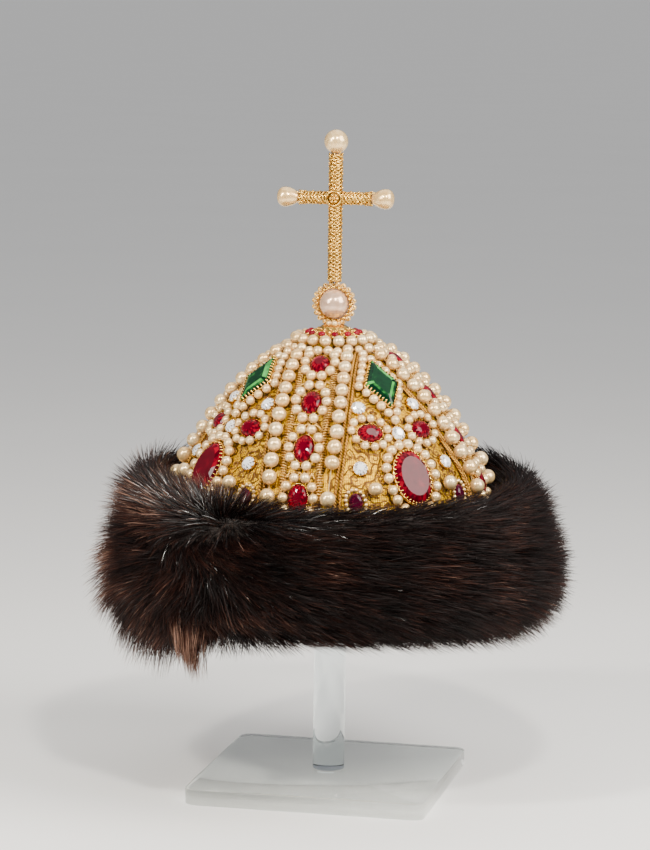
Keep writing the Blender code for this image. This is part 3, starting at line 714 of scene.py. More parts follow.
# lit, middle and shaded facet colours of each stone: painted light and shade
RED = stone_look("red_stone", (0.27, 0.0005, 0.012), (0.08, 0.0, 0.005), (0.016, 0.0, 0.001), 7 * MM)
PLUM = stone_look("plum_stone", (0.10, 0.002, 0.018), (0.03, 0.0, 0.007), (0.006, 0.0, 0.002), 7 * MM)
GREEN = stone_look("green_stone", (0.07, 0.36, 0.07), (0.002, 0.024, 0.008), (0.0, 0.006, 0.003), 4 * MM)
CLEAR = rhinestone_look()
BROCADE = brocade_look()
PELT = pelt_look()
FUR = fur_look("fur_hair", (0.0010, 0.0005, 0.0004), (0.0055, 0.0014, 0.0010), (0.050, 0.0165, 0.010))
GUARD = fur_look("guard_hair", (0.001, 0.0006, 0.0005), (0.002, 0.001, 0.0008), (0.01, 0.004, 0.003),
                 roughness=0.25, gloss=0.65)
ACRYLIC = acrylic_look()


# Cloth dome, braids and metal thread


def make_cap():
    """The brocade cap: outer and inner face, and a rounded lower edge."""
    downs = np.linspace(0.0, 1.0, CAP_ROWS) ** CAP_ROW_CROWDING * CAP_DOWN
    radius, height, out, up = section_at(downs)
    outer = np.stack([radius, height], -1)
    inner = np.stack([np.maximum(radius - CAP_WALL * out, 0.0), height - CAP_WALL * up], -1)
    outer[0, 0] = inner[0, 0] = CAP_POLE_RADIUS
    edge = (outer[-1] + inner[-1]) / 2 - np.array([0.0, CAP_WALL / 2])
    section = np.concatenate([outer, edge[None], inner[::-1]])
    mesh = Mesh()
    add_turned(mesh, section, CAP_STEPS)
    cap = mesh.build("cap_brocade", BROCADE, "cloth_of_gold", "cap_shell")
    # one face of the side walls has its corners in the order below, left; below, right; above
    row, column = np.divmod(np.arange((len(section) - 1) * CAP_STEPS), CAP_STEPS)
    places = length_along(section)
    across = np.stack([column, column + 1, column + 1, column], -1) * (2 * pi * CAP_MEAN_RADIUS / CAP_STEPS)
    along = np.stack([places[row + 1], places[row + 1], places[row], places[row]], -1)
    uv = np.zeros((len(cap.data.loops), 2))
    uv[:across.size] = np.stack([across.ravel(), along.ravel()], -1)
    cap.data.uv_layers.new(name="UVMap").data.foreach_set("uv", uv.astype(np.float32).ravel())


def rib_place(side, down):
    return side * np.minimum(string_across(down) + RIB_FROM_STRING, PANEL_STEP * reach_at(down))


def make_braids():
    """Each rib is two gold cords side by side, each of two plies twisted together."""
    mesh = Mesh()
    down = np.arange(RIB_TOP, RIB_END, PLY_PITCH / PLY_STEPS)
    for panel in NARROW_PANELS.values():
        for side in (-1, 1):
            middle = rib_place(side, down)
            out = dome_axes(panel, middle, down)[..., 2]
            for cord in (-1, 1):
                for phase in (0.0, pi):
                    turn = cord * 2 * pi * down / PLY_PITCH + phase
                    across = middle + cord * CORD_FROM_MIDDLE + PLY_TWIST * np.cos(turn)
                    lift = PLY_RADIUS + PLY_TWIST * (1 + np.sin(turn))
                    add_tube(mesh, on_dome(panel, across, down, lift), PLY_RADIUS, out, sides=4)
    mesh.build("rib_braids_plaited", BRAID, "gold_braid", "rib_braids")


def make_purl():
    """Springs of gold wire down both sides of the ovals, and loose short pieces among the rings."""
    mesh, cores = Mesh(), Mesh()
    down = np.arange(STRING_START, STRING_END, SPRING_PITCH / SPRING_STEPS)
    turn = 2 * pi * down / SPRING_PITCH
    lift = SPRING_LIFT + SPRING_RISE * np.sin(turn)
    for panel in NARROW_PANELS.values():
        for side in (-1, 1):
            middle = side * SPRING_ACROSS + SPRING_SWAY * np.sin(down / SPRING_SWAY_LENGTH)
            across = middle + side * SPRING_RADIUS * np.cos(turn)
            lay_tube(mesh, panel, across, down, lift, SPRING_WIRE, sides=4)
            middle, stations = middle[::CORE_STEP], down[::CORE_STEP]
            lay_tube(cores, panel, middle, stations, CORE_LIFT, CORE_RADIUS, flatten=0.55)
        for row in PURL_ROWS:
            for across in PURL_ACROSS:
                at = row + RNG.uniform(-1.5, 1.5) * MM
                add_purl(mesh, panel, across, at, RNG.uniform(0, pi), RNG.uniform(3.5, 6.0) * MM)
    mesh.build("purl_wire", PURL, "gold_braid")
    cores.build("purl_cores", BRAID, "gold_braid")


def add_purl(mesh, panel, across, down, angle, length):
    """A loose piece of purl: ridged, and bent a little to one side."""
    t = np.linspace(-0.5, 0.5, PURL_STEPS)
    bend = RNG.uniform(-0.6, 0.6) * length
    a = across + length * t * cos(angle) - bend * (t ** 2) * sin(angle)
    d = down + length * t * sin(angle) + bend * (t ** 2) * cos(angle)
    ridges = 1 + 0.16 * np.cos(pi * np.arange(PURL_STEPS))
    lay_tube(mesh, panel, a, d, PURL_LIFT, PURL_RADIUS * ridges)


def scroll_path(across, down, size, turn, hand):
    """A curl: a spiral that opens into a tail."""
    t = np.linspace(0.0, 1.0, 18)
    angle = turn + hand * (t * 2.6 * pi)
    radius = size * (0.12 + 0.88 * t ** 1.3)
    return across + radius * np.cos(angle), down + radius * np.sin(angle)


def make_scrolls():
    """Couched brown cord in curls over the brocade ground of the wide panels."""
    mesh = Mesh()
    for panel in WIDE_PANELS.values():
        for row in SCROLL_ROWS:
            half = PANEL_STEP * reach_at(row) - string_across(row) - SCROLL_MARGIN
            for across in np.arange(SCROLL_START, half, SCROLL_STEP):
                for side in (-1, 1):
                    size = RNG.uniform(3.0, 4.4) * MM
                    turn = RNG.uniform(0, 2 * pi)
                    a, d = scroll_path(side * across, row + RNG.uniform(-2, 2) * MM, size, turn, side)
                    lay_tube(mesh, panel, a, d, SCROLL_LIFT, SCROLL_CORD_RADIUS, sides=4)
    mesh.build("scroll_cord", OUTLINE, "cloth_of_gold")


# Pearls, and the threads that they are sewn on


THREADS = Mesh()


def string_pearls():
    """Distances down and radii of a string's pearls, which grow towards the brim."""
    sizes = np.linspace(1.0, STRING_GROWTH, STRING_PEARLS)
    sizes *= (STRING_END - STRING_START) / sizes.sum()
    ends = STRING_START + np.concatenate([[0.0], np.cumsum(sizes)])
    return (ends[:-1] + ends[1:]) / 2, np.linspace(*STRING_PEARL_RADII, STRING_PEARLS)


def make_strings():
    down, radius = string_pearls()
    fine = np.linspace(STRING_START, STRING_END, 60)
    for word, panel in NARROW_PANELS.items():
        for mark, side in MARKS:
            keep = np.ones(len(down), bool)
            if (word, mark) == STRING_WITH_GAP:
                keep[STRING_GAP_PLACE] = False
            mesh = Mesh()
            across = side * string_across(down) + RNG.uniform(-0.35, 0.35, len(down)) * MM
            lay_pearls(mesh, panel, across[keep], down[keep], radius[keep])
            lay_tube(THREADS, panel, side * string_across(fine), fine, 3.2 * MM, 0.3 * MM, sides=4)
            mesh.build(f"pearls_on_string_{word}_{mark}", PEARL, "pearl", f"pearl_string_{word}_{mark}")


def ring_of_pearls(mesh, panel, across, down, half_width, half_length, count, radius):
    a, d = ellipse_places(across, down, half_width, half_length, count)
    jitter = RNG.uniform(-0.25, 0.25, (2, count)) * MM
    lay_pearls(mesh, panel, a + jitter[0], d + jitter[1], radius)
    a, d = hoop((across, down), (0.0, -half_length), (half_width, 0.0), 40).T
    lay_tube(THREADS, panel, a, d, radius * 0.8, 0.35 * MM, sides=4, closed=True)


def make_narrow_rings():
    for word, panel in NARROW_PANELS.items():
        mesh = Mesh()
        for down, half_length in OVALS:
            half_sizes = np.add((OVAL_HALF_WIDTH, half_length), OVAL_RING_MARGIN)
            ring_of_pearls(mesh, panel, 0.0, down, *half_sizes, NARROW_RING_PEARLS, NARROW_PEARL_RADIUS)
        for across, down, radius in SINGLE_PEARLS_NARROW:
            lay_pearls(mesh, panel, across, down, radius)
        mesh.build(f"pearls_round_ovals_{word}", PEARL, "pearl", f"pearl_rings_{word}")


def diamond_places():
    corners = hoop((0.0, RHOMBUS_DOWN), (0.0, -DIAMOND_HALF_LENGTH), (DIAMOND_HALF_WIDTH, 0.0), 4)
    share = np.arange(DIAMOND_PEARLS_A_SIDE)[:, None] / DIAMOND_PEARLS_A_SIDE
    sides = [a * (1 - share) + b * share for a, b in zip(corners, np.roll(corners, -1, 0))]
    return np.concatenate(sides).T


def make_wide_work():
    for word, panel in WIDE_PANELS.items():
        mesh = Mesh()
        lay_pearls(mesh, panel, *diamond_places(), DIAMOND_PEARL_RADIUS)
        for side in (-1, 1):
            ring_of_pearls(mesh, panel, side * SIDE_OVAL_ACROSS, SIDE_OVAL_DOWN, *SIDE_RING)
        ring_of_pearls(mesh, panel, 0.0, LARGE_OVAL_DOWN, *LARGE_RING)
        for across, down, radius in SINGLE_PEARLS_WIDE:
            lay_pearls(mesh, panel, across, down, radius)
        for side in (-1, 1):
            a, d = ellipse_places(side * BASE_OVAL_ACROSS, BASE_OVAL_DOWN, *BASE_RING)
            add_pearls(mesh, on_dome(panel, a, d, BASE_PEARL_LIFT), BASE_PEARL_RADIUS, COARSE_BALL)
        mesh.build(f"pearls_in_panel_{word}", PEARL, "pearl", f"pearl_work_{word}")


def make_top_ring():
    mesh = Mesh()
    for bearing in 360.0 * np.arange(TOP_RING_PEARLS) / TOP_RING_PEARLS:
        add_pearls(mesh, on_dome(bearing, 0.0, TOP_RING_DOWN, TOP_RING_LIFT), TOP_PEARL_RADIUS)
    mesh.build("pearls_under_collar", PEARL, "pearl", "pearl_ring_top")


# Cut stones and their settings


def rhombus_outline():
    """A rhombus with its four corners cut off, as eight points."""
    points = []
    for x, y in ((0, 1), (1, 0), (0, -1), (-1, 0)):
        for nx, ny in ((-y, -x), (y, x)) if x == 0 else ((-y, x), (y, -x)):
            points.append((1 - CORNER_CUT) * np.array((x, y)) + CORNER_CUT * np.array((nx, ny)))
    return np.array(points) * (RHOMBUS_HALF_WIDTH, RHOMBUS_HALF_LENGTH)


def facet_painted_light(number, middle):
    """A facet's painted brightness, standing in for the light and shade that it catches; it looks random but
    is the same for the same facet.
    """
    return 0.5 + 0.5 * sin(number * 2.4 + middle[1] * 900) if number > 1 else 0.45


def add_stone(mesh, place, outline, levels, turn_levels=True):
    """A cut stone with flat facets: each face has its own corners and its own painted brightness, standing in
    for the light and shade on it.
    """
    axes = dome_axes(*place)
    origin = on_dome(*place, 0.0)
    rings = []
    for number, (share, height) in enumerate(levels):
        ring = outline * share
        if turn_levels and number > 1:
            ring = (ring + np.roll(ring, -number, 0)) / 2
        rings.append(np.column_stack([ring, np.full(len(ring), height * MM)]))
    faces = [rings[0][::-1], rings[-1]]
    for lower, upper in zip(rings, rings[1:]):
        for a, b, c, e in zip(lower, np.roll(lower, -1, 0), np.roll(upper, -1, 0), upper):
            faces += [np.array([a, b, e]), np.array([b, c, e])] if turn_levels else [np.array([a, b, c, e])]
    for number, face in enumerate(faces):
        mesh.add(origin + face @ axes.T, np.arange(len(face))[None], facet=facet_painted_light(number, face.mean(0)))


def add_claws(mesh, place, outline_at, count, height, size, reach, foot):
    """A thin wall round a stone, with small claws bent over its edge; foot narrows the wall below."""
    axes = dome_axes(*place)
    origin = on_dome(*place, 0.0)
    edge = outline_at(np.linspace(0, 1, 73)[:-1])
    top = height * WALL_TOP
    levels = ((WALL_SHARE * foot, WALL_FOOT), (WALL_SHARE, top), (1.0, top), (foot, WALL_FOOT))
    wall = [np.column_stack([edge * share, np.full(len(edge), level)]) for share, level in levels]
    mesh.add(np.concatenate(wall) @ axes.T + origin, tube_faces(len(levels), len(edge), True))
    stops = (np.arange(count) + 0.5) / count
    middle, before, after = (outline_at((stops + s) % 1.0) for s in (0.0, -0.002, 0.002))
    side = unit(after - before)
    outward = np.stack([-side[:, 1], side[:, 0]], -1)
    outward *= np.sign((outward * middle).sum(-1, keepdims=True))
    for point, way, out in zip(middle, side, outward):
        base = point + out * CLAW_OFFSET
        path = [[*(base * (1 - (1 - foot) * (1 - min(level, 1.0))) + out * a * reach), level * height]
                for a, level in CLAW_SECTION]
        path = np.array(path) @ axes.T + origin
        add_tube(mesh, path, size * CLAW_TAPER, np.array([*way, 0.0]) @ axes.T, sides=5)


def oval_outline(half_sizes, sides=OVAL_SIDES):
    return oval_at(*half_sizes)((np.arange(sides) + 0.5) / sides)


def set_oval(stones, settings, place, half_sizes, levels, claws, sides=OVAL_SIDES):
    """An oval stone in its claws."""
    add_stone(stones, place, oval_outline(half_sizes, sides), levels)
    add_claws(settings, place, oval_at(*half_sizes), *claws)


def make_stones():
    settings = Mesh()

    def red_oval(word, *oval, **sides):
        mesh = Mesh()
        set_oval(mesh, settings, *oval, **sides)
        mesh.build(f"cut_stone_{word}", RED, "red_stone", f"stone_{word}", smooth=False)

    for word, panel in NARROW_PANELS.items():
        for number, (down, half_length) in enumerate(OVALS, 1):
            half_sizes = (OVAL_HALF_WIDTH, half_length)
            red_oval(f"oval_{word}_{number}", (panel, 0.0, down), half_sizes, PLAIN_CUT, PLAIN_CLAWS)
    for word, panel in WIDE_PANELS.items():
        mesh = Mesh()
        place = (panel, 0.0, RHOMBUS_DOWN)
        add_stone(mesh, place, rhombus_outline(), STEP_CUT, turn_levels=False)
        mesh.build(f"cut_stone_rhombus_{word}", GREEN, "green_stone", f"stone_rhombus_{word}", smooth=False)
        add_claws(settings, place, straight_at(rhombus_outline()), *RHOMBUS_CLAWS)
        place = (panel, 0.0, LARGE_OVAL_DOWN)
        red_oval(f"large_{word}", place, LARGE_OVAL, TALL_CUT, LARGE_CLAWS, sides=LARGE_OVAL_SIDES)
        for mark, side in MARKS:
            place = (panel, side * SIDE_OVAL_ACROSS, SIDE_OVAL_DOWN)
            red_oval(f"side_{word}_{mark}", place, SIDE_OVAL, PLAIN_CUT, PLAIN_CLAWS)
    settings.build("stone_settings", GILT, "gilt_metal")


def make_small_stones():
    """Rhinestones in claw cups, and the small dark ovals near the brim."""
    stones, cups, dark = Mesh(), Mesh(), Mesh()
    for panel in WIDE_PANELS.values():
        for across, down in RHINESTONES:
            set_oval(stones, cups, (panel, across, down), RHINESTONE, RHINESTONE_CUT, RHINESTONE_CLAWS)
        for side in (-1, 1):
            place = (panel, side * BASE_OVAL_ACROSS, BASE_OVAL_DOWN)
            add_stone(dark, place, oval_outline(BASE_OVAL), DARK_CUT)
    stones.build("rhinestones", CLEAR, "clear_acrylic", smooth=False)
    cups.build("rhinestone_cups", GILT, "gilt_metal")
    dark.build("small_dark_ovals", PLUM, "red_stone", smooth=False)


# Finial and cross, whose small sizes below are in millimetres


def add_petals(gold, stones):
    """Twelve looped petals round the collar, each with a red stone."""
    for way in hoop(np.zeros(3), RIGHT, BACK, PETALS, 0.5):
        across = np.cross(UP, way)
        for size, height in ((1.0, 286.4), (0.62, 286.9)):
            path = hoop(way * 13.9 + UP * height, way * 4.4 * size - UP * 1.2, across * 3.5 * size, 24)
            add_tube(gold, path * MM, 0.48 * MM, UP, sides=5, closed=True)
        lean = unit(way * 0.5 + UP)
        tilt = np.stack([across, np.cross(lean, across), lean], -1)
        spot = (way * 16.0 + UP * 286.7) * MM
        # these stones take one fixed level of the painted facet light
        add_copies(stones, BALL, spot, tilt * (1.0, 0.9, 0.7), 2.25 * MM, facet=0.85)


def make_finial():
    gold, stones, beads, orb = Mesh(), Mesh(), Mesh(), Mesh()
    add_turned(gold, COLLAR_SECTION, COLLAR_STEPS)
    add_petals(gold, stones)
    for radius, height, count, size in COLLAR_GRAINS:
        add_balls(gold, hoop(UP * height, RIGHT * radius, BACK * radius, count) * MM, size * MM)
    add_balls(beads, hoop(UP * 291.9, RIGHT * 3.1, BACK * 3.1, 5) * MM, 2.0 * MM, BALL, tint=0.6)
    # the bead ring round the orb pearl: beads between two rows of grains, a wavy wire in front and behind
    centre = UP * ORB_HEIGHT / MM
    sizes, tints = RNG.uniform((1.75, 0.6), (2.05, 1.3), (ORB_RING_BEADS, 2)).T
    spots = hoop(centre, UP * 12.3, RIGHT * 12.3, ORB_RING_BEADS, 0.5)
    add_balls(beads, spots * MM, sizes * MM, BALL, tint=tints)
    for depth in (-1.3, 1.3):
        spots = hoop(centre + BACK * depth, UP * 10.5, RIGHT * 10.5, ORB_RING_BEADS)
        add_balls(gold, spots * MM, 1.15 * MM, BALL)
    wave = 11.9 - 1.7 * np.cos(ORB_RING_BEADS * 2 * pi * np.arange(WRAP_STEPS) / WRAP_STEPS)
    for depth in (-1.9, 1.9):
        wrap = centre + hoop(np.zeros(3), UP, RIGHT, WRAP_STEPS) * wave[:, None] + BACK * depth
        add_tube(gold, wrap * MM, 0.36 * MM, BACK, sides=4, closed=True)
    add_tube(gold, hoop(centre, UP * 10.0, RIGHT * 10.0, WRAP_STEPS // 4) * MM, 0.7 * MM, BACK, closed=True)
    add_balls(orb, UP * ORB_HEIGHT, ORB_RADIUS, FINE_BALL, tint=0.4)
    gold.build("collar_filigree", GILT, "gilt_metal", "finial_collar")
    stones.build("collar_red_stones", RED, "red_stone")
    beads.build("orb_ring_beads", PEARL, "pearl")
    orb.build("orb_pearl_round", ORB_PEARL, "orb_pearl", "finial_orb_pearl")


def add_filigree(ground, wires, start, end, radius):
    """A round bar covered in a lattice of wound wires, with grains where they cross."""
    length = np.linalg.norm(end - start)
    along = (end - start) / length
    side = unit(np.cross(along, BACK))
    depth = np.cross(along, side)
    t = np.linspace(0, 1, max(12, int(length / (0.9 * MM))))
    middle = start + along * (t * length)[:, None]
    add_tube(ground, middle, radius, depth, sides=16)
    wave = radius + 0.25 * MM + 0.12 * MM * np.cos(t * length / MM * 2.6)
    for hand in (-1, 1):
        for k in range(LATTICE_WIRES):
            angle = hand * 2 * pi * t * length / LATTICE_PITCH + 2 * pi * k / LATTICE_WIRES
            out = np.outer(np.cos(angle), side) + np.outer(np.sin(angle), depth)
            add_tube(wires, middle + out * wave[:, None], 0.42 * MM, out, sides=5)
    rows = int(length / (LATTICE_PITCH / LATTICE_WIRES))
    for row in range(rows):
        across = start + along * length * (row + 0.5) / rows
        far = radius + 0.35 * MM
        spots = hoop(across, side * far, depth * far, LATTICE_WIRES, 0.5 * (row % 2))
        add_balls(wires, spots, RNG.uniform(0.55, 0.85, LATTICE_WIRES) * MM)


def make_cross():
    ground, wires = Mesh(), Mesh()
    heart = UP * CROSS_ARM_HEIGHT
    add_filigree(ground, wires, UP * CROSS_FOOT, UP * CROSS_HEAD, CROSS_SHAFT_RADIUS)
    for way in (RIGHT, -RIGHT):
        start, end = heart + way * CROSS_ARM_START, heart + way * CROSS_ARM_REACH
        add_filigree(ground, wires, start, end, CROSS_ARM_RADIUS)
    # the boss where the arms meet, with a rosette of grains on both faces
    add_tube(ground, heart + np.outer((-5.0, 0.0, 5.0), BACK) * MM, 4.6 * MM, UP, sides=20)
    for face in (-1, 1):
        centre = heart / MM + BACK * face * 5.1
        add_tube(wires, hoop(centre, RIGHT * 4.4, UP * 4.4, 32) * MM, 0.55 * MM, BACK, closed=True)
        add_balls(wires, hoop(centre + BACK * face * 0.1, RIGHT * 2.2, UP * 2.2, 6) * MM, 1.0 * MM, BALL)
        add_balls(wires, (centre + BACK * face * 0.5) * MM, 1.3 * MM, BALL)
    # claws round the three ends, every fourth of them long
    ends = ((UP, CROSS_HEAD - CROSS_ARM_HEIGHT), (RIGHT, CROSS_ARM_REACH), (-RIGHT, CROSS_ARM_REACH))
    for way, reach in ends:
        for number, out in enumerate(hoop(np.zeros(3), np.cross(way, BACK), BACK, CROWN_CLAWS)):
            tip = 1.9 if number % 4 == 1 else 0.9
            stops = ((-2.5, 3.7), (-0.4, 4.1), (tip, 3.5 + tip))
            path = [heart + way * (reach + along * MM) + out * off * MM for along, off in stops]
            add_tube(wires, path, np.array([0.6, 0.5, 0.3]) * MM, np.cross(way, out), sides=5)
    # the core is painted darker, as the shade in the crevices between the wires
    ground.build("cross_core", SHADED_GILT, "gilt_metal", "cross_body")
    wires.build("cross_filigree", GILT, "gilt_metal", "cross_body")


def make_cross_pearls():
    top = Mesh()
    centre = UP * (CROSS_HEAD + GAP + TOP_CROSS_PEARL_RADIUS)
    add_balls(top, centre, TOP_CROSS_PEARL_RADIUS, FINE_BALL, tint=0.6)
    top.build("round_pearl_top", PEARL, "pearl", "cross_pearl_top")
    section = smooth_line(PEAR_SECTION, steps=6) * MM
    for word, way in (("left", -RIGHT), ("right", RIGHT)):
        mesh = Mesh()
        foot = UP * CROSS_ARM_HEIGHT + way * (CROSS_ARM_REACH + GAP)
        add_turned(mesh, section, PEAR_STEPS, foot, -way, UP, tint=0.9)
        mesh.build(f"pear_pearl_{word}", PEARL, "pearl", f"cross_pearl_{word}")


# Fur


FUR_LINE = smooth_line(FUR_SECTION, FUR_STEPS)
FUR_AT = length_along(FUR_LINE[:, :2])
LIP_START = FUR_AT[int(LIP_KNOT * FUR_STEPS)]


def bell(distance, width):
    return np.exp(-(distance / width) ** 2)


def turn_from(bearing, start):
    """Signed angle from one bearing to another, within half a turn."""
    return (bearing - start + pi) % (2 * pi) - pi


def ridge_rise(bearing):
    """Share of the ridge's full rise round the brim: highest behind, a little at both sides."""
    side = np.sin(bearing)
    sides = 0.15 * np.maximum(0.0, side) ** 2 + 0.15 * np.maximum(0.0, -side) ** 2
    return 0.5 * (1 - np.cos(bearing)) * 0.75 + sides + 0.12 * np.sin(3 * bearing)


def fur_surface(bearing, at, inset_share=1.0):
    """Points of the pelt at bearings and distances round its section."""
    r, z, share, inset = (np.interp(at, FUR_AT, FUR_LINE[:, k]) for k in range(4))
    way = unit(np.stack([r - FUR_CENTRE[0], z - FUR_CENTRE[1]], -1))
    r = r - way[..., 0] * inset * inset_share
    z = z - way[..., 1] * inset * inset_share
    radius = r * MM + FUR_SHIFT * np.minimum(1.0, inset / 6.0) * np.sin(bearing)
    height = z * MM + share * ridge_rise(bearing) * FUR_RISE
    # the free end at the left hangs fuller and lower, and the right end reaches further out
    low = np.clip((FUR_CENTRE[1] - z) / 30.0, 0, 1)
    left = bell(turn_from(bearing, HANG_BEARING), radians(36.0)) * low
    right = bell(bearing - REACH_BEARING, radians(30.0)) * low
    radius = radius + (3.0 * left + 5.0 * right) * MM
    height = height - (8.0 * left + 2.0 * right) * MM
    return np.stack([radius * np.sin(bearing), -radius * np.cos(bearing), height], -1)


def make_pelt():
    bearing, at = np.meshgrid(2 * pi * np.arange(PELT_STATIONS) / PELT_STATIONS,
                              np.linspace(0, FUR_AT[-1], PELT_ROWS), indexing="ij")
    mesh = Mesh()
    mesh.add(fur_surface(bearing, at, PELT_INSET), tube_faces(PELT_STATIONS, PELT_ROWS, True))
    mesh.build("fur_pelt", PELT, "dark_fur", "fur_brim")


def fur_stretch(*knots):
    """Distances round the section of places counted in points of FUR_SECTION."""
    return np.interp(knots, np.arange(len(FUR_SECTION)), FUR_AT[::FUR_STEPS])


def make_fur():
    first, last = fur_stretch(*HAIR_STRETCH)
    for number in range(FUR_PIECES):
        mesh = Mesh()
        bearing = RNG.uniform(-pi, pi, STRANDS_PER_PIECE)
        add_strands(mesh, bearing, RNG.uniform(first, last, STRANDS_PER_PIECE))
        if number == 0:
            bearing = TUFT_BEARING + RNG.normal(0, TUFT_SPREAD, TUFT_STRANDS)
            add_strands(mesh, bearing, RNG.uniform(*fur_stretch(*TUFT_STRETCH), TUFT_STRANDS), tuft=1.0)
        mesh.build(f"fur_hair_{number + 1}", FUR, "dark_fur", "fur_brim")
    mesh = Mesh()
    bearing = FUR_SEAM + RNG.normal(0, GUARD_SPREAD, GUARD_STRANDS)
    add_strands(mesh, bearing, RNG.uniform(first, last, GUARD_STRANDS), guards=1.0)
    bearing = LIP_BEARING + RNG.normal(0, LIP_SPREAD, LIP_STRANDS)
    add_strands(mesh, bearing, RNG.uniform(LIP_START, last, LIP_STRANDS))
    mesh.build("fur_guard_hair", GUARD, "dark_fur", "fur_brim")


def cell_noise(first, second, seed):
    """The same number from -1 to 1 for all strands of one lock."""
    value = np.sin(first * 12.9898 + second * 78.233 + seed) * 43758.5453
    return (value - np.floor(value)) * 2 - 1


def fur_axes(bearing, at, root):
    """Unit vectors ahead round the brim, down its section and out of it."""
    ahead = unit(fur_surface(bearing + 0.01, at) - fur_surface(bearing - 0.01, at))
    below = unit(fur_surface(bearing, at + 1.0) - fur_surface(bearing, at - 1.0))
    out = unit(np.cross(below, ahead))
    middle = np.stack([FUR_CENTRE[0] * np.sin(bearing), -FUR_CENTRE[0] * np.cos(bearing),
                       np.full(len(bearing), FUR_CENTRE[1])], -1) * MM
    return ahead, below, out * np.sign((out * (root - middle)).sum(-1, keepdims=True))


def add_strands(mesh, bearing, at, tuft=0.0, guards=0.0):
    """Hair rooted in the pelt at bearings and distances round its section."""
    count = len(bearing)
    root = fur_surface(bearing, at)
    ahead, below, out = fur_axes(bearing, at, root)
    # hair runs away from the seam both ways round, and hangs at the left end
    seam_at = FUR_SEAM + radians(9.0) * np.sin(at / 9.0) + radians(5.0) * np.sin(at / 4.3)
    from_seam = turn_from(bearing, seam_at)
    flow = (np.tanh(from_seam / radians(11.0)) + RNG.normal(0, 0.15, count)) * (1 - tuft)
    seam = bell(from_seam, radians(14.0)) * (1 - tuft)
    left_end = bell(from_seam + radians(45.0), radians(32.0)) * (1 - tuft)
    right_end = np.clip(np.sin(bearing), 0, 1) ** 2 * (1 - tuft)
    # from -1 under the brim to 1 on its ridge; the lip is the hair that stands before the lowest pearls
    high = np.clip((root[:, 2] - FUR_CENTRE[1] * MM) / FUR_HALF_DEPTH, -1, 1)
    under = (1 - high) / 2
    inner = np.clip((at - LIP_START + 6.0) / 20.0, 0, 1)
    lip = bell(bearing - LIP_BEARING, LIP_SPREAD) * inner
    long = RNG.uniform(0, 1, count) < LONG_SHARE
    length = np.where(long, RNG.uniform(*LONG_HAIR, count), RNG.uniform(*SHORT_HAIR, count)) * MM
    length *= 1 + right_end * (0.30 - 0.25 * high) + left_end * (0.32 - 0.12 * high) + 0.25 * lip + 0.5 * tuft
    length *= (1 - 0.45 * guards) * (1 - under * 0.30 * (1 - np.maximum(left_end, tuft)))
    # neighbouring strands share a lean, so that their tips gather in locks
    row = np.round(at / LOCK_ROW)
    lock = np.round(bearing / LOCK_TURN + 0.5 * (row % 2))
    lean, lean_up = cell_noise(lock, row, 0.0), cell_noise(lock, row, 4.1)
    stand = np.where(long, 0.55, 0.75) + 0.22 * lean + RNG.uniform(-0.14, 0.14, count)
    stand += 0.15 * right_end + 0.30 * left_end
    stand *= (1 - 0.8 * tuft) * (1 - 0.45 * seam * (1 - inner)) * (1 - 0.15 * guards)
    drift = 0.24 * lean_up + RNG.uniform(-0.16, 0.16, count)
    sink = 0.05 + left_end * (0.45 - 0.50 * high) + right_end * 0.35 * under + 1.6 * tuft
    sink += 0.8 * seam * (1 - 0.5 * high) * (1 - inner) - 0.55 * lip
    run = flow * (0.95 - 0.40 * left_end) * (1 - 0.6 * lip) - 3.5 * tuft * (bearing - TUFT_BEARING)
    way = unit(ahead * run[:, None] + out * stand[:, None] + below * drift[:, None] - np.outer(sink, UP))
    bend = ahead * (flow * 0.30)[:, None] - np.outer(0.10 + 0.25 * left_end * under, UP) - out * 0.14
    width = np.where(long, 0.155, 0.185) * MM * RNG.uniform(0.8, 1.25, count)
    flat = unit(np.cross(way, RNG.normal(size=(count, 3)))) * width[:, None]
    tint = RNG.normal(0.27, 0.19, count) + 0.12 * lean
    # the left end's tips are painted paler, a painted glow of the light behind it; the lip and the tuft are
    # paler too
    tint += 0.50 * left_end * (1 - 0.5 * inner) + 0.40 * lip + 0.65 * tuft
    add_ribbons(mesh, root, way * length[:, None], bend * length[:, None], flat, np.clip(tint, 0, 1.2))


def add_ribbons(mesh, root, way, bend, flat, tint):
    """Tapered ribbons: way leads from root to tip, bend curves it, and flat is half the width at the root."""
    count = len(root)
    corners = []
    for share, size in HAIR_LEVELS:
        centre = root + way * share + bend * share ** 2
        corners += [centre - flat * size, centre + flat * size]
    corners.append(root + way + bend)
    base = np.arange(count)[:, None, None] * len(corners)
    quads = np.array([(0, 1, 3, 2), (2, 3, 5, 4)])[None] + base
    tips = np.array([(4, 5, 6)])[None] + base
    along = np.repeat([share for share, _ in HAIR_LEVELS] + [1.0], (2, 2, 2, 1))
    mesh.add(np.stack(corners, 1), quads.reshape(-1, 4), tips.reshape(-1, 3), along=np.tile(along, count),
             tint=np.repeat(tint, len(corners)))


# Stand, floor, lights and camera


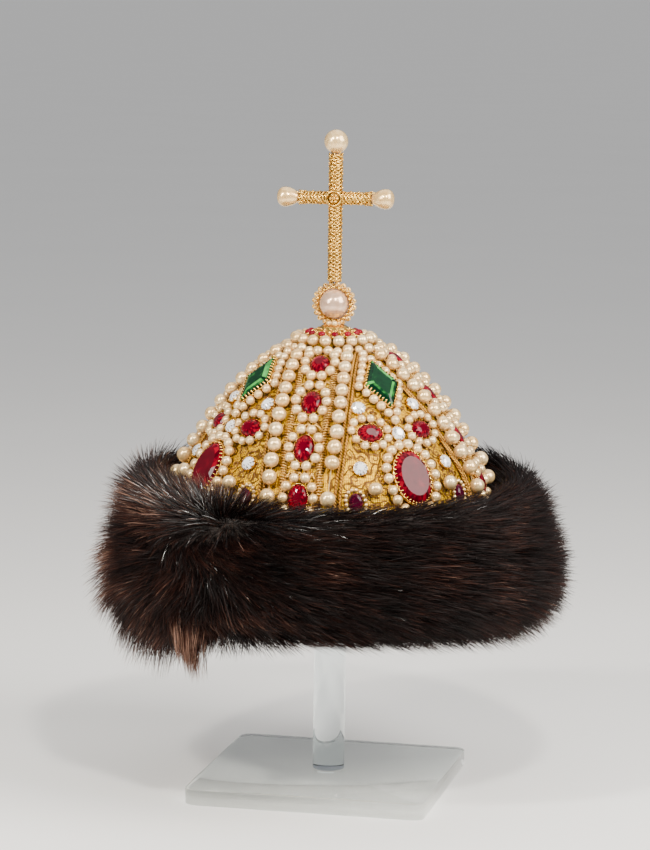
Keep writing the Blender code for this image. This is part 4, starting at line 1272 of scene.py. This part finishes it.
def make_stand():
    form = bmesh.new()
    bmesh.ops.create_cube(form, size=1.0)
    bmesh.ops.scale(form, vec=(BASE_SIDE, BASE_SIDE, BASE_THICKNESS), verts=form.verts)
    bmesh.ops.translate(form, vec=(0.0, 0.0, BASE_THICKNESS / 2), verts=form.verts)
    upright = [e for e in form.edges if abs(e.verts[0].co.z - e.verts[1].co.z) > BASE_THICKNESS / 2]
    bmesh.ops.bevel(form, geom=upright, offset=BASE_CORNER, segments=10, profile=0.5, affect="EDGES")
    rims = [e for e in form.edges if abs(e.verts[0].co.z - e.verts[1].co.z) < 1e-6]
    bmesh.ops.bevel(form, geom=rims, offset=0.5 * MM, segments=2, profile=0.5, affect="EDGES")
    mesh = bpy.data.meshes.new("stand_foot_plate")
    form.to_mesh(mesh)
    form.free()
    mesh.shade_smooth()
    plate = add_piece("stand_foot_plate", mesh, ACRYLIC, "clear_acrylic", "stand_base")
    foot, under = BASE_THICKNESS + GAP, DISC_TOP - DISC_THICKNESS
    axis, rim, rod_rim = 0.1 * MM, DISC_RADIUS - SOFT_EDGE, ROD_RADIUS - SOFT_EDGE
    rod = Mesh()
    section = [(axis, DISC_TOP), (rim, DISC_TOP), (DISC_RADIUS, DISC_TOP - SOFT_EDGE),
               (DISC_RADIUS, under + SOFT_EDGE), (rim, under), (ROD_RADIUS, under),
               (ROD_RADIUS, foot + SOFT_EDGE), (rod_rim, foot), (axis, foot)]
    add_turned(rod, section, ROD_STEPS)
    post = rod.build("stand_rod_and_disc", ACRYLIC, "clear_acrylic", "stand_post")
    for clear in (plate, post):
        clear.data.set_sharp_from_angle(angle=SHARP_ANGLE)
        clear.visible_shadow = False


def make_floor():
    mesh = bpy.data.meshes.new("floor")
    corners = FLOOR_HALF_SIDE * np.array([(-1, -1, 0), (1, -1, 0), (1, 1, 0), (-1, 1, 0)])
    mesh.from_pydata(corners.tolist(), [], [(0, 1, 2, 3)])
    look = Look("floor", roughness=0.75)
    look.colour(look.ramp(look.noise(0.4), (0.0, (0.80, 0.79, 0.77)), (1.0, (0.84, 0.83, 0.81))))
    mesh.materials.append(look.material)
    add_object("floor", mesh)


def add_light(name, bearing, elevation, distance, size, power, colour):
    data = bpy.data.lights.new(name, "AREA")
    data.shape = "RECTANGLE"
    data.size, data.size_y = size
    data.energy = power
    data.color = colour
    light = add_object(name, data)
    b, e = radians(bearing), radians(elevation)
    light.location = LIGHT_TARGET + distance * Vector((sin(b) * cos(e), -cos(b) * cos(e), sin(e)))
    light.rotation_euler = (LIGHT_TARGET - light.location).to_track_quat("-Z", "Y").to_euler()


def make_lights():
    world = bpy.data.worlds.new("studio")
    bpy.context.scene.world = world
    world.use_nodes = True
    background = world.node_tree.nodes["Background"]
    background.inputs["Color"].default_value = (0.93, 0.95, 1.0, 1.0)
    background.inputs["Strength"].default_value = 0.30
    for light in LIGHTS:
        add_light(*light)
    ceiling = bpy.data.lights.new("ceiling", "SUN")
    ceiling.energy = CEILING_POWER
    ceiling.angle = radians(70.0)
    add_object("ceiling", ceiling).rotation_euler = (radians(-25.0), 0.0, 0.0)


def make_camera():
    data = bpy.data.cameras.new("camera")
    camera = add_object("camera", data)
    focal_px = CAMERA_DISTANCE / METRES_PER_PIXEL
    data.sensor_fit = "VERTICAL"
    data.sensor_height = SENSOR_HEIGHT
    data.lens = focal_px / PICTURE_HEIGHT * SENSOR_HEIGHT
    data.clip_start = 0.05
    right, back = CAMERA_DISTANCE * sin(CAMERA_BEARING), -CAMERA_DISTANCE * cos(CAMERA_BEARING)
    camera.location = (right, back, CAMERA_HEIGHT)
    yaw = CAMERA_BEARING + atan(AXIS_RIGHT_OF_CENTRE_PX / focal_px)
    turn = Matrix.Rotation(yaw, 4, "Z") @ Matrix.Rotation(pi / 2 - CAMERA_PITCH, 4, "X")
    camera.rotation_euler = (turn @ Matrix.Rotation(CAMERA_ROLL, 4, "Z")).to_euler()
    bpy.context.scene.camera = camera


make_camera()
make_cap()
make_braids()
make_purl()
make_scrolls()
make_strings()
make_narrow_rings()
make_wide_work()
make_top_ring()
THREADS.build("sewing_threads", SEWING, "gold_braid")
make_stones()
make_small_stones()
make_finial()
make_cross()
make_cross_pearls()
make_pelt()
make_fur()
make_stand()
make_floor()
make_lights()
